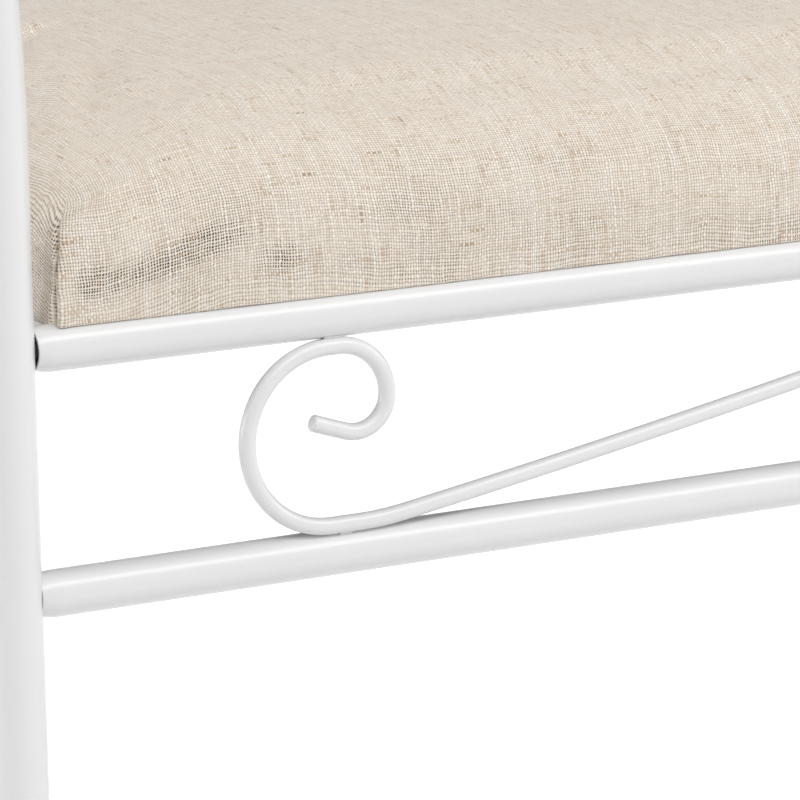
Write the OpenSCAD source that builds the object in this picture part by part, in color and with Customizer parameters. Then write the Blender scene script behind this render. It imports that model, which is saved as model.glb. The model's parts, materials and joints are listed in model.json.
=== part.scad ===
// Bedroom bench: a bolted frame of white coated steel tube with scroll wires, and a linen seat cushion.
// Millimetres. The origin is on the floor under the middle of the bench; +X runs along it to the right,
// +Y to the back, +Z up.

/* [Seat frame] */
// Length of the long rails, between the legs
rail_length = 975; // [700:1:1200]
// Depth from the axis of the front rails to the axis of the back rails
frame_depth = 388; // [300:1:450]
// Height of the top rails' axis above the floor
seat_rail_height = 375; // [320:1:440]
// Drop from the top rails' axis to the lower rails' axis
apron_drop = 83; // [76:1:110]
// Outside diameter of the rails
rail_d = 16; // [14:0.5:19]
// Wall of the rails
rail_wall = 0.9; // [0.8:0.1:1.3]
// Distance from a rail's end to the axis of the outer cross rail
cross_rail_inset = 10; // [9:0.5:30]
// Distance from the middle of the bench to an inner cross rail
inner_cross_rail_x = 165; // [100:1:220]

/* [Rail ends] */
// Length over which a rail's end is rounded in
rounding_length = 7; // [4:0.5:8]
// How much smaller the radius is at the rail's end
rounding_depth = 1.1; // [0.5:0.1:1.5]
// How deep a top rail's end is notched to sit round the leg
top_notch = 0.3; // [0.2:0.1:1.5]
// How deep a lower rail's end is notched to sit round the leg
lower_notch = 1.8; // [0.5:0.1:2.2]

/* [End frames] */
// Outside diameter of the legs and arms
leg_d = 22; // [20:0.5:25]
// Wall of the legs and arms
leg_wall = 1.5; // [1.2:0.1:2]
// Height above the top rails' axis at which a leg starts to lean outwards
lean_start = 66; // [40:1:90]
// Radius of the curve in which a leg leans outwards
lean_radius = 730; // [600:5:900]
// Angle that the leg has turned outwards where the arm's bend starts
lean_angle = 9.8; // [6:0.1:12]
// Radius of the roll at the top of a leg, at the tube's axis
roll_radius = 40; // [33:1:60]
// Straight length at the end of the roll
roll_end_length = 16; // [12:1:30]

/* [Scroll wires] */
// Diameter of the scroll wire
wire_d = 6; // [5:0.25:8]
// How far the apron's wires stand out of the rails' plane
wire_lead = 3.7; // [2:0.1:5]
// Distance from a long rail's end to the middle of its scroll
scroll_inset = 106.7; // [80:0.1:150]
// Distance from the leg to the middle of a scroll in an end frame
side_scroll_inset = 48; // [40:0.5:60]
// Flat length at the top of a scroll, between its two curves
scroll_top_flat = 3.7; // [1:0.1:6]
// Flat length at the foot of a scroll, on the rail
scroll_foot_flat = 11; // [4:0.5:20]
// Radius of the curl after the scroll's top
upper_curl_radius = 18.4; // [15:0.1:21]
// Radius of the curl before the wire's tip
lower_curl_radius = 12.2; // [10:0.1:13]
// Angle of the curl before the wire's tip
lower_curl_angle = 108; // [90:1:120]
// Length of the nearly straight tip of the wire
tip_length = 14; // [8:0.5:18]
// Radius of the gentle bend in the wire's tip
tip_radius = 400; // [200:10:900]
// Radius at the foot of the long wire's rise
long_foot_radius = 110; // [60:1:160]
// Radius at the crest of the long wire
long_crest_radius = 271; // [150:1:320]
// Angle through which the long wire bows on its way up
long_bow_angle = 3.5; // [0.5:0.1:5]
// Radius at the foot of a short wire's rise
short_foot_radius = 18; // [12:1:26]
// Radius at the crest of a short wire
short_crest_radius = 34; // [20:1:40]
// Angle through which a short wire bows on its way up
short_bow_angle = 3; // [0.5:0.1:8]
// Angle from an arm scroll's upright to where its end curves start
arm_scroll_lean = 25; // [18:1:32]

/* [Fasteners] */
// Diameter of the frame bolts
bolt_d = 6; // [5:0.5:8]
// Diameter of a bolt's head
bolt_head_d = 11; // [10:0.5:13]
// Height of a bolt's head
bolt_head_h = 3.3; // [2.5:0.1:4]
// Width across the corners of a bolt's socket
bolt_socket_d = 4.6; // [3.5:0.1:5.8]
// Depth of a bolt's socket
bolt_socket_depth = 2.2; // [1.5:0.1:2.4]
// Clearance round a bolt in the leg, on the diameter
bolt_clearance = 0.5; // [0.3:0.1:1]
// Length of bolt thread in the rail's nut plug
thread_length = 12; // [9:0.5:13]
// Diameter of a saddle washer
washer_d = 14; // [13:0.5:16]
// Thickness of a saddle washer at its thinnest
washer_thickness = 1.5; // [1:0.1:2]
// How far a nut plug is set back from the rail's end
plug_setback = 8.5; // [8:0.5:12]
// Length of a nut plug
plug_length = 14; // [12:0.5:20]
// Diameter of the seat screws
screw_d = 4; // [3.5:0.1:5]
// Diameter of a seat screw's head
screw_head_d = 8; // [7:0.5:9]
// Height of a seat screw's head
screw_head_h = 2.5; // [2:0.1:3.5]
// Clearance round a seat screw in its rail, on the diameter
screw_clearance = 0.5; // [0.3:0.1:1]
// Length of a seat screw in the seat board
screw_grip = 9; // [6:0.5:10]
// Distance from the middle of the seat to a seat screw
screw_y = 115; // [80:1:130]

/* [Feet] */
// Height of a foot under the leg's tube
foot_height = 4; // [3:0.5:8]
// Chamfer round the bottom of a foot
foot_chamfer = 1.5; // [0.5:0.1:2.5]
// Length of a foot's plug in the leg
foot_plug_length = 15; // [10:0.5:20]
// Depth of the grooves between the ribs of a foot's plug
foot_groove = 0.8; // [0.5:0.1:1.5]
// Height of the domed cap at the end of a leg's roll
cap_height = 4.5; // [3:0.5:8]
// Length of a cap's plug in the roll's straight end
cap_plug_length = 12; // [8:0.5:12]

/* [Seat cushion] */
// Gap from a rail's end to the end of the cushion
cushion_end_gap = 8.4; // [6:0.1:14]
// How far the cushion reaches past the axis of the front and back rails
cushion_reach = 4.2; // [2:0.1:8]
// Height of the cushion at its crown
cushion_height = 72; // [60:1:85]
// Radius of the cushion's upright corners
corner_radius = 8; // [5:0.5:14]
// How far the cushion's long sides are drawn in between the corners
side_draw = 1.5; // [0.5:0.1:3]
// Thickness of the linen cover
cover_thickness = 1; // [0.8:0.1:1.5]
// Width of the cover's return under the board
cover_return = 30; // [20:1:40]
// Thickness of the seat board
board_thickness = 12; // [12:0.5:15]
// Slack between the cover and what it covers
cover_slack = 0.2; // [0.1:0.05:0.4]
// Thickness of the dust cover
dust_cover_thickness = 0.4; // [0.3:0.1:0.6]
// How far the dust cover's edge stays inside the board's edge
dust_cover_inset = 16; // [13:0.5:19]
// Clearance between the cross rails and the cushion's underside
seat_clearance = 0.1; // [0.1:0.05:0.3]

/* [Hidden] */

// Smoothness of tubes and wires
tube_sides = 48;
// Smoothness of bends
bend_sides = 96;
// Sides of a bolt's socket
socket_sides = 6;
// Run past a surface that a cut goes through
overrun = 1;
// Coarse steps in a millimetre when a bend is placed
coarse_steps = 100;
// Figures kept in a computed radius or angle
kept_figures = 5;
// Bands of the ribbing on a foot's or a cap's plug
plug_bands = 6;
// Colours
coat_white = [0.95, 0.95, 0.93];
zinc_grey = [0.55, 0.56, 0.58];
linen_cream = [0.86, 0.80, 0.71];
foam_yellow = [0.93, 0.88, 0.68];
birch = [0.80, 0.66, 0.46];
dust_black = [0.14, 0.14, 0.15];
plastic_white = [0.88, 0.88, 0.86];

// Rails
rail_r = rail_d / 2;
rail_end_x = rail_length / 2;
rail_y = frame_depth / 2;
lower_rail_height = seat_rail_height - apron_drop;
cross_rail_x = rail_end_x - cross_rail_inset;
rounding_steps = 5;
dome_steps = 6;

// Legs: the top rail's notch sets where the leg's axis stands
leg_r = leg_d / 2;
leg_x = rail_end_x - top_notch + leg_r;
lower_rail_end_x = leg_x - leg_r + lower_notch;
lean_start_height = seat_rail_height + lean_start;

// Roll of a left leg: where its lean ends, the roll's centre and the axis of its straight end, in X and Z
lean_end = [-leg_x - lean_radius * (1 - cos(lean_angle)), lean_start_height + lean_radius * sin(lean_angle)];
roll_centre = lean_end - roll_radius * [cos(lean_angle), sin(lean_angle)];
roll_end_x = roll_centre[0] - roll_radius;
arm_panel = lean_end - [-leg_x, seat_rail_height];

// Scrolls
wire_r = wire_d / 2;
wire_seat = sqrt(pow(rail_r + wire_r, 2) - pow(wire_lead, 2));
scroll_radius = neat((apron_drop - 2 * wire_seat) / 2);
apron_middle = seat_rail_height - apron_drop / 2;
panel_half_depth = rail_y - leg_r;
arm_scroll_height = norm(arm_panel) - rail_d - wire_d;
arm_spine_radius = neat((arm_scroll_height / 2 - scroll_radius * (1 - sin(arm_scroll_lean)))
    / sin(arm_scroll_lean));

// Cushion
cushion_half_x = rail_end_x - cushion_end_gap;
cushion_half_y = rail_y + cushion_reach;
dust_cover_bottom = seat_rail_height + rail_r + seat_clearance;
cushion_bottom = dust_cover_bottom + dust_cover_thickness;
board_bottom = cushion_bottom + cover_thickness;
corner_steps = 5;
long_side_steps = 7;
short_side_steps = 3;
// How much the corner radius grows for each step inwards over the crown
corner_growth_share = 1.3;
// Largest corner radius, as a share of half the depth of the row
corner_limit_share = 0.9;
// Cushion profile: distance in from the edge as a share of half its depth, and height as a share of the crown
side_rows_shares = [[0.000, 0.00], [-0.003, 0.10], [-0.003, 0.23], [0.003, 0.35]];
crown_rows_shares = [[0.018, 0.47], [0.043, 0.565], [0.082, 0.65], [0.132, 0.73], [0.215, 0.81],
    [0.305, 0.885], [0.430, 0.945], [0.610, 0.985], [0.850, 1.00]];

// A computed value with only its leading figures kept
function neat(value) =
    let (figures = pow(10, kept_figures - ceil(log(abs(value))))) round(value * figures) / figures;

// Tubes and rods

// A rod along +X from the origin
module rod(length, d) {
    rotate([0, 90, 0]) cylinder(h = length, d = d, $fn = tube_sides);
}

// Places its children at a point, in a coarse step and then a fine one
module placed(point) {
    coarse = [for (v = point) round(v * coarse_steps) / coarse_steps];
    translate(coarse) translate(point - coarse) children();
}

// A bend of tube in the XY plane round the origin, from one direction on through an angle
module bend(radius, start, angle, d) {
    rotate_extrude(angle = angle, start = start, $fn = bend_sides)
        translate([radius, 0]) circle(d = d, $fn = tube_sides);
}

// Where a step of wire ends that starts at a point with a heading
function step_end(at, heading, size, turn) =
    turn == 0 ? at + size * [cos(heading), sin(heading)]
    : at + sign(turn) * size * [sin(heading + turn) - sin(heading), cos(heading) - cos(heading + turn)];

// A wire laid from step to step in the XY plane, from a point and with a heading.
// A step is [length, 0] for a straight or [radius, angle] for a bend, with left bends positive.
module wire_run(steps, at, heading, i = 0) {
    if (i < len(steps)) {
        size = steps[i][0];
        turn = steps[i][1];
        centre = at + sign(turn) * size * [-sin(heading), cos(heading)];
        if (turn == 0)
            placed([at[0], at[1], 0]) rotate([0, 0, heading]) rod(size, wire_d);
        else
            placed([centre[0], centre[1], 0])
                bend(size, turn > 0 ? heading - 90 : heading + 90 + turn, abs(turn), wire_d);
        wire_run(steps, step_end(at, heading, size, turn), heading + turn, i + 1);
    }
}

// The curl at the end of a wire, from the top of its scroll to the nearly straight tip
curl_steps = [[scroll_top_flat, 0], [upper_curl_radius, -90], [lower_curl_radius, -lower_curl_angle],
    [tip_radius, -neat(tip_length / tip_radius * 180 / PI)]];

// How far too high the wire ends if its rise climbs at this angle
function rise_error(angle, run, rise, foot_radius, crest_radius, bow) =
    (run - foot_radius * sin(angle - bow / 2) - crest_radius * sin(angle + bow / 2)) * tan(angle)
    + foot_radius * (1 - cos(angle - bow / 2)) + crest_radius * (1 - cos(angle + bow / 2)) - rise;

// The angle at which the rise meets both its foot and its crest, found by halving
function rise_angle(run, rise, foot_radius, crest_radius, bow, low = 1, high = 60, left = 40) =
    left == 0 ? (low + high) / 2
    : let (middle = (low + high) / 2)
        rise_error(middle, run, rise, foot_radius, crest_radius, bow) > 0
        ? rise_angle(run, rise, foot_radius, crest_radius, bow, low, middle, left - 1)
        : rise_angle(run, rise, foot_radius, crest_radius, bow, middle, high, left - 1);

// Half of an apron wire: from its crest down to the foot and round the scroll
module half_apron_wire(half_width, inset, foot_radius, crest_radius, bow) {
    run = half_width - inset - scroll_foot_flat;
    rise = 2 * scroll_radius;
    angle = neat(rise_angle(run, rise, foot_radius, crest_radius, bow));
    chord = (run - foot_radius * sin(angle - bow / 2) - crest_radius * sin(angle + bow / 2))
        / cos(angle);
    bow_radius = neat(chord / 2 / sin(bow / 2));
    wire_run(concat([[crest_radius, angle + bow / 2], [bow_radius, -bow], [foot_radius, bow / 2 - angle],
        [scroll_foot_flat, 0], [scroll_radius, -180]], curl_steps), [0, scroll_radius], 180);
}

// A long rail along X with rounded-in open ends
module long_rail(half_length) {
    outer_end = [for (i = [0 : rounding_steps])
        let (left = 1 - i / rounding_steps)
        [rail_r - rounding_depth * left * left, rounding_length * (1 - left)]];
    half_wall = [for (p = outer_end) [p[0], half_length - p[1]]];
    bore = [for (p = outer_end) [p[0] - rail_wall, half_length - p[1]]];
    count = len(outer_end);
    profile = concat(half_wall, [for (i = [count - 1 : -1 : 0]) [half_wall[i][0], -half_wall[i][1]]],
        [for (p = bore) [p[0], -p[1]]], [for (i = [count - 1 : -1 : 0]) bore[i]]);
    rotate([0, 90, 0]) rotate_extrude($fn = tube_sides) polygon(profile);
}

// The outside of a leg, for cutting what sits round it
module leg_space(x, y) {
    translate([x, y, 0]) cylinder(h = lean_start_height, d = leg_d, $fn = tube_sides);
}

// A long rail in its place, notched to sit round the legs
module notched_rail(half_length, y, height) {
    difference() {
        translate([0, y, height]) long_rail(half_length);
        for (x = [-leg_x, leg_x]) leg_space(x, y);
    }
}

// A tube along Y through the height given, with its bore
module cross_tube(x, height, half_length) {
    translate([x, half_length, height]) rotate([90, 0, 0]) difference() {
        cylinder(h = 2 * half_length, d = rail_d, $fn = tube_sides);
        translate([0, 0, -overrun])
            cylinder(h = 2 * (half_length + overrun), d = rail_d - 2 * rail_wall, $fn = tube_sides);
    }
}

// Legs and arms

// A bend of leg tube in an upright plane, from one direction on through an angle
module upright_bend(centre, radius, start, angle, d) {
    placed([centre[0], 0, centre[1]]) rotate([90, 0, 0]) bend(radius, start, angle, d);
}

// The course of a left leg's tube at y = 0, for its outside or its bore
module leg_course(d, extra) {
    translate([-leg_x, 0, foot_height - extra])
        cylinder(h = lean_start_height - foot_height + extra, d = d, $fn = tube_sides);
    upright_bend([-leg_x - lean_radius, lean_start_height], lean_radius, 0, lean_angle, d);
    upright_bend(roll_centre, roll_radius, lean_angle, 180 - lean_angle, d);
    placed([roll_end_x, 0, roll_centre[1]]) translate([0, 0, -roll_end_length - extra])
        cylinder(h = roll_end_length + extra, d = d, $fn = tube_sides);
}

module front_left_leg() {
    color(coat_white) translate([0, -rail_y, 0]) difference() {
        leg_course(leg_d, 0);
        leg_course(leg_d - 2 * leg_wall, overrun);
        for (height = [seat_rail_height, lower_rail_height])
            translate([-leg_x - leg_r - overrun, 0, height])
                rod(leg_d + 2 * overrun, bolt_d + bolt_clearance);
    }
}

module back_left_leg() {
    mirror([0, 1, 0]) front_left_leg();
}

module front_right_leg() {
    mirror([1, 0, 0]) front_left_leg();
}

module back_right_leg() {
    mirror([1, 0, 0]) back_left_leg();
}

// A left cross tube between the legs above the seat, its ends shaped round them
module arm_tube(point) {
    color(coat_white) difference() {
        placed([point[0], 0, point[1]]) cross_tube(0, 0, rail_y);
        for (y = [-rail_y, rail_y]) translate([0, y, 0]) leg_course(leg_d, 0);
    }
}

// The arm along the top of the rolls
module left_arm() {
    arm_tube([roll_centre[0], roll_centre[1] + roll_radius]);
}

module right_arm() {
    mirror([1, 0, 0]) left_arm();
}

// The rail under the arm, where the rolls start
module left_arm_rail() {
    arm_tube(lean_end);
}

module right_arm_rail() {
    mirror([1, 0, 0]) left_arm_rail();
}

// Rails

module front_top_rail() {
    color(coat_white) notched_rail(rail_end_x, -rail_y, seat_rail_height);
}

module back_top_rail() {
    color(coat_white) notched_rail(rail_end_x, rail_y, seat_rail_height);
}

module front_lower_rail() {
    color(coat_white) notched_rail(lower_rail_end_x, -rail_y, lower_rail_height);
}

module back_lower_rail() {
    color(coat_white) notched_rail(lower_rail_end_x, rail_y, lower_rail_height);
}

// A cross rail, its ends shaped round the top rails, with screw holes if it is an inner one
module cross_rail(x, drilled) {
    color(coat_white) difference() {
        cross_tube(x, seat_rail_height, rail_y);
        for (y = [-rail_y, rail_y])
            translate([-rail_end_x, y, seat_rail_height]) rod(rail_length, rail_d);
        if (drilled)
            for (y = [-screw_y, screw_y])
                translate([x, y, seat_rail_height - rail_d])
                    cylinder(h = 2 * rail_d, d = screw_d + screw_clearance, $fn = tube_sides);
    }
}

module left_cross_rail() {
    cross_rail(-cross_rail_x, false);
}

module right_cross_rail() {
    cross_rail(cross_rail_x, false);
}

module inner_left_cross_rail() {
    cross_rail(-inner_cross_rail_x, true);
}

module inner_right_cross_rail() {
    cross_rail(inner_cross_rail_x, true);
}

// A side rail between the legs of an end frame, its ends shaped round them
module side_rail(side, height) {
    color(coat_white) difference() {
        cross_tube(side * leg_x, height, rail_y);
        for (y = [-rail_y, rail_y]) leg_space(side * leg_x, y);
    }
}

module left_side_rail() {
    side_rail(-1, seat_rail_height);
}

module left_lower_side_rail() {
    side_rail(-1, lower_rail_height);
}

module right_side_rail() {
    side_rail(1, seat_rail_height);
}

module right_lower_side_rail() {
    side_rail(1, lower_rail_height);
}

// Scroll wires

// The left long wire of the front, whose crest butts against its right neighbour's
module front_left_scroll_wire() {
    color(coat_white) translate([0, -rail_y - wire_lead, apron_middle]) rotate([90, 0, 0])
        half_apron_wire(rail_end_x, scroll_inset, long_foot_radius, long_crest_radius, long_bow_angle);
}

module front_right_scroll_wire() {
    mirror([1, 0, 0]) front_left_scroll_wire();
}

module back_left_scroll_wire() {
    mirror([0, 1, 0]) front_left_scroll_wire();
}

module back_right_scroll_wire() {
    mirror([0, 1, 0]) front_right_scroll_wire();
}

// The short wire of the left end, in its place
module left_scroll_wire() {
    color(coat_white) translate([-leg_x - wire_lead, 0, apron_middle]) rotate([90, 0, 90])
        for (side = [0, 1])
            mirror([side, 0, 0]) half_apron_wire(panel_half_depth, side_scroll_inset, short_foot_radius,
                short_crest_radius, short_bow_angle);
}

module right_scroll_wire() {
    mirror([1, 0, 0]) left_scroll_wire();
}

// Half of an arm scroll: from the middle of its spine up and over to the curl
module half_arm_scroll() {
    wire_run(concat([[arm_spine_radius, -arm_scroll_lean], [scroll_radius, arm_scroll_lean - 90]],
        curl_steps), [0, 0], 90);
}

// The back scroll of the left arm; its spine stands at the middle of the arm
module left_arm_scroll_back() {
    tilt = atan2(arm_panel[0], arm_panel[1]);
    color(coat_white) translate([-leg_x, 0, seat_rail_height]) rotate([0, tilt, 0])
        translate([0, wire_r, rail_r + wire_r + arm_scroll_height / 2]) rotate([90, 0, 90]) {
            half_arm_scroll();
            mirror([0, 1, 0]) half_arm_scroll();
        }
}

module left_arm_scroll_front() {
    mirror([0, 1, 0]) left_arm_scroll_back();
}

module right_arm_scroll_back() {
    mirror([1, 0, 0]) left_arm_scroll_back();
}

module right_arm_scroll_front() {
    mirror([1, 0, 0]) left_arm_scroll_front();
}

// Fasteners

// Places its children at each bolted joint, with +X pointing out of the leg
module at_bolts() {
    for (side = [-1, 1])
        for (y = [-rail_y, rail_y])
            for (height = [seat_rail_height, lower_rail_height])
                translate([side * leg_x, y, height]) rotate([0, 0, side > 0 ? 0 : 180]) children();
}

// Places its children at each rail's end, with +X pointing into the rail
module at_rail_ends() {
    for (side = [-1, 1])
        for (y = [-rail_y, rail_y]) {
            translate([side * rail_end_x, y, seat_rail_height])
                rotate([0, 0, side > 0 ? 180 : 0]) children();
            translate([side * lower_rail_end_x, y, lower_rail_height])
                rotate([0, 0, side > 0 ? 180 : 0]) children();
        }
}

// Nut plugs pressed into the rails behind their rounded ends
module rail_nut_plugs() {
    color(zinc_grey) at_rail_ends() translate([plug_setback, 0, 0]) difference() {
        rod(plug_length, rail_d - 2 * rail_wall);
        translate([-overrun, 0, 0]) rod(plug_length + 2 * overrun, bolt_d);
    }
}

// Socket-head bolts through the legs into the nut plugs
module frame_bolts() {
    head_base = leg_r + washer_thickness;
    reach = leg_r - top_notch + plug_setback + thread_length;
    color(zinc_grey) at_bolts() {
        translate([-reach, 0, 0]) rod(reach + head_base, bolt_d);
        translate([head_base, 0, 0]) difference() {
            rotate([0, 90, 0])
                cylinder(h = bolt_head_h, d1 = bolt_head_d, d2 = bolt_head_d - bolt_head_h, $fn = tube_sides);
            translate([bolt_head_h - bolt_socket_depth, 0, 0]) rotate([0, 90, 0])
                cylinder(h = bolt_head_h, d = bolt_socket_d, $fn = socket_sides);
        }
    }
}

// Washers hollowed to sit on the round legs
module saddle_washers() {
    color(zinc_grey) at_bolts() difference() {
        rod(leg_r + washer_thickness, washer_d);
        translate([0, 0, -washer_d]) cylinder(h = 2 * washer_d, d = leg_d, $fn = tube_sides);
        rod(leg_d, bolt_d);
    }
}

// Screws up through the inner cross rails into the seat board
module seat_screws() {
    rail_bottom = seat_rail_height - rail_r;
    color(zinc_grey) for (x = [-inner_cross_rail_x, inner_cross_rail_x])
        for (y = [-screw_y, screw_y]) translate([x, y, rail_bottom]) {
            cylinder(h = board_bottom + screw_grip - rail_bottom, d = screw_d, $fn = tube_sides);
            translate([0, 0, -screw_head_h])
                cylinder(h = screw_head_h, d1 = screw_head_d - screw_head_h, d2 = screw_head_d,
                    $fn = tube_sides);
        }
}

// Feet

// Outline of a ribbed plug that stands in a leg's bore, from its base upwards to its end
function plug_outline(base, length) =
    let (plug_r = leg_r - leg_wall, core_r = plug_r - foot_groove, band = length / plug_bands)
    [[plug_r, base], [plug_r, base + band], [core_r, base + band], [core_r, base + 2 * band],
        [plug_r, base + 2 * band], [plug_r, base + 3 * band], [core_r, base + 3 * band],
        [core_r, base + 4 * band], [plug_r, base + 4 * band], [plug_r, base + 5 * band],
        [core_r, base + length], [0, base + length]];

// A foot: a chamfered pad under the leg and a ribbed plug in its bore
module foot(x, y) {
    color(plastic_white) translate([x, y, 0]) rotate_extrude($fn = tube_sides)
        polygon(concat([[0, 0], [leg_r - foot_chamfer, 0], [leg_r, foot_chamfer], [leg_r, foot_height]],
            plug_outline(foot_height, foot_plug_length)));
}

module front_left_foot() {
    foot(-leg_x, -rail_y);
}

module front_right_foot() {
    foot(leg_x, -rail_y);
}

module back_left_foot() {
    foot(-leg_x, rail_y);
}

module back_right_foot() {
    foot(leg_x, rail_y);
}

// The cap of a left leg's roll: a dome under the tube's end and a ribbed plug in its bore
module front_left_cap() {
    dome = [for (i = [0 : dome_steps]) let (a = 90 * i / dome_steps)
        [leg_r * sin(a), cap_height * (1 - cos(a))]];
    color(plastic_white) translate([roll_end_x, -rail_y, roll_centre[1] - roll_end_length - cap_height])
        rotate_extrude($fn = tube_sides)
            polygon(concat(dome, plug_outline(cap_height, cap_plug_length)));
}

module back_left_cap() {
    mirror([0, 1, 0]) front_left_cap();
}

module front_right_cap() {
    mirror([1, 0, 0]) front_left_cap();
}

module back_right_cap() {
    mirror([1, 0, 0]) back_left_cap();
}

// Seat cushion

// Points of one rounded corner
function corner(x, y, r, start) =
    [for (i = [0 : corner_steps]) let (a = start + 90 * i / corner_steps) [x + r * cos(a), y + r * sin(a)]];

// Points between two corners, drawn in towards the middle of the cushion
function side(from, to, steps, draw, inward) =
    [for (i = [1 : steps - 1]) let (t = i / steps)
        [from[0] + (to[0] - from[0]) * t + inward[0] * draw * sin(180 * t),
        from[1] + (to[1] - from[1]) * t + inward[1] * draw * sin(180 * t)]];

// One level outline of the cushion, of half sizes a and b and corner radius r
function outline(a, b, r, draw) =
    let (x = a - r, y = b - r)
    concat(corner(x, y, r, 0), side([x, b], [-x, b], long_side_steps, draw, [0, -1]),
        corner(-x, y, r, 90), side([-a, y], [-a, -y], short_side_steps, draw, [1, 0]),
        corner(-x, -y, r, 180), side([-x, -b], [x, -b], long_side_steps, draw, [0, 1]),
        corner(x, -y, r, 270), side([a, -y], [a, y], short_side_steps, draw, [-1, 0]));

// The outline at a row of the profile, set in by the thickness given
function row_ring(row, set_in) =
    let (inset = row[0] * cushion_half_y,
        b = cushion_half_y - inset - set_in,
        r = min(corner_radius + corner_growth_share * max(inset, 0), b * corner_limit_share),
        height = row[1] * cushion_height,
        lowered = height * (1 - set_in / cushion_height))
    [for (p = outline(cushion_half_x - inset - set_in, b, r, side_draw * row[1]))
        [p[0], p[1], cushion_bottom + lowered]];

// An outline at a given height, set in from the cushion's foot
function flat_ring(set_in, z) =
    [for (p = outline(cushion_half_x - set_in, cushion_half_y - set_in, corner_radius, 0)) [p[0], p[1], z]];

// The middle point that closes a ring
function ring_middle(ring) = [0, 0, ring[0][2]];

// A closed skin through a list of rings, the first and the last closed by fans
module skin(rings) {
    n = len(rings[0]);
    last = (len(rings) - 1) * n;
    points = concat([for (ring = rings) each ring],
        [ring_middle(rings[0]), ring_middle(rings[len(rings) - 1])]);
    top = len(points) - 2;
    faces = concat(
        [for (i = [0 : n - 1]) [top, (i + 1) % n, i]],
        [for (k = [0 : len(rings) - 2]) for (i = [0 : n - 1])
            let (a = k * n + i, b = k * n + (i + 1) % n) each [[a, b, a + n], [b, b + n, a + n]]],
        [for (i = [0 : n - 1]) [top + 1, last + i, last + (i + 1) % n]]);
    polyhedron(points = points, faces = faces);
}

// Rings from the top of the crown down to the lowest side row
function down_rings(set_in, first_row) =
    let (rows = concat(side_rows_shares, crown_rows_shares))
    [for (k = [len(rows) - 1 : -1 : first_row]) row_ring(rows[k], set_in)];

// The linen cover: crown and sides, with a return under the board's edge
module seat_cover() {
    inner_up = down_rings(cover_thickness, 1);
    color(linen_cream) skin(concat(down_rings(0, 0),
        [flat_ring(cover_return, cushion_bottom), flat_ring(cover_return, board_bottom)],
        [flat_ring(cover_thickness, board_bottom)],
        [for (k = [len(inner_up) - 1 : -1 : 0]) inner_up[k]]));
}

// The foam block on the board, crowned under the cover
module seat_foam() {
    set_in = cover_thickness + cover_slack;
    color(foam_yellow) skin(concat(down_rings(set_in, 2),
        [flat_ring(set_in, board_bottom + board_thickness)]));
}

// The seat board, with pilot holes for the screws
module seat_board() {
    set_in = cover_thickness + cover_slack;
    color(birch) difference() {
        translate([0, 0, board_bottom]) linear_extrude(board_thickness)
            polygon(outline(cushion_half_x - set_in, cushion_half_y - set_in, corner_radius, side_draw / 2));
        for (x = [-inner_cross_rail_x, inner_cross_rail_x])
            for (y = [-screw_y, screw_y])
                translate([x, y, board_bottom - overrun])
                    cylinder(h = screw_grip + overrun, d = screw_d, $fn = tube_sides);
    }
}

// The dust cover under the board, over the edges of the cover's return
module dust_cover() {
    a = cushion_half_x - dust_cover_inset;
    b = cushion_half_y - dust_cover_inset;
    color(dust_black) difference() {
        translate([-a, -b, dust_cover_bottom]) cube([2 * a, 2 * b, dust_cover_thickness]);
        for (x = [-inner_cross_rail_x, inner_cross_rail_x])
            for (y = [-screw_y, screw_y])
                translate([x, y, dust_cover_bottom - overrun])
                    cylinder(h = dust_cover_thickness + 2 * overrun, d = screw_d, $fn = tube_sides);
    }
}

front_left_leg();
back_left_leg();
front_right_leg();
back_right_leg();
left_arm();
right_arm();
left_arm_rail();
right_arm_rail();
front_top_rail();
back_top_rail();
front_lower_rail();
back_lower_rail();
left_cross_rail();
inner_left_cross_rail();
inner_right_cross_rail();
right_cross_rail();
left_side_rail();
left_lower_side_rail();
right_side_rail();
right_lower_side_rail();
front_left_scroll_wire();
front_right_scroll_wire();
back_left_scroll_wire();
back_right_scroll_wire();
left_scroll_wire();
right_scroll_wire();
left_arm_scroll_front();
left_arm_scroll_back();
right_arm_scroll_front();
right_arm_scroll_back();
rail_nut_plugs();
frame_bolts();
saddle_washers();
front_left_foot();
front_right_foot();
back_left_foot();
back_right_foot();
front_left_cap();
front_right_cap();
back_left_cap();
back_right_cap();
seat_board();
seat_foam();
seat_cover();
dust_cover();
seat_screws();
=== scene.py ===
"""Dresses the bedroom bench: white coated steel tube, scroll wires and a linen seat cushion.

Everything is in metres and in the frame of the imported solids: the origin is on the floor under the
middle of the bench, +X runs along it to the right, +Y to the back and +Z up. The bench's own sizes
are kept in millimetres in the dataclasses, as a maker would note them, and turned into metres when
a mesh is built. The finishes and the studio are noted in metres.
"""
from __future__ import annotations

import json
import logging
import math
from dataclasses import dataclass, field, replace
from enum import Enum
from typing import Callable, Iterable, NamedTuple, Sequence

import bmesh
import bpy
from mathutils import Matrix, Vector, noise

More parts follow.
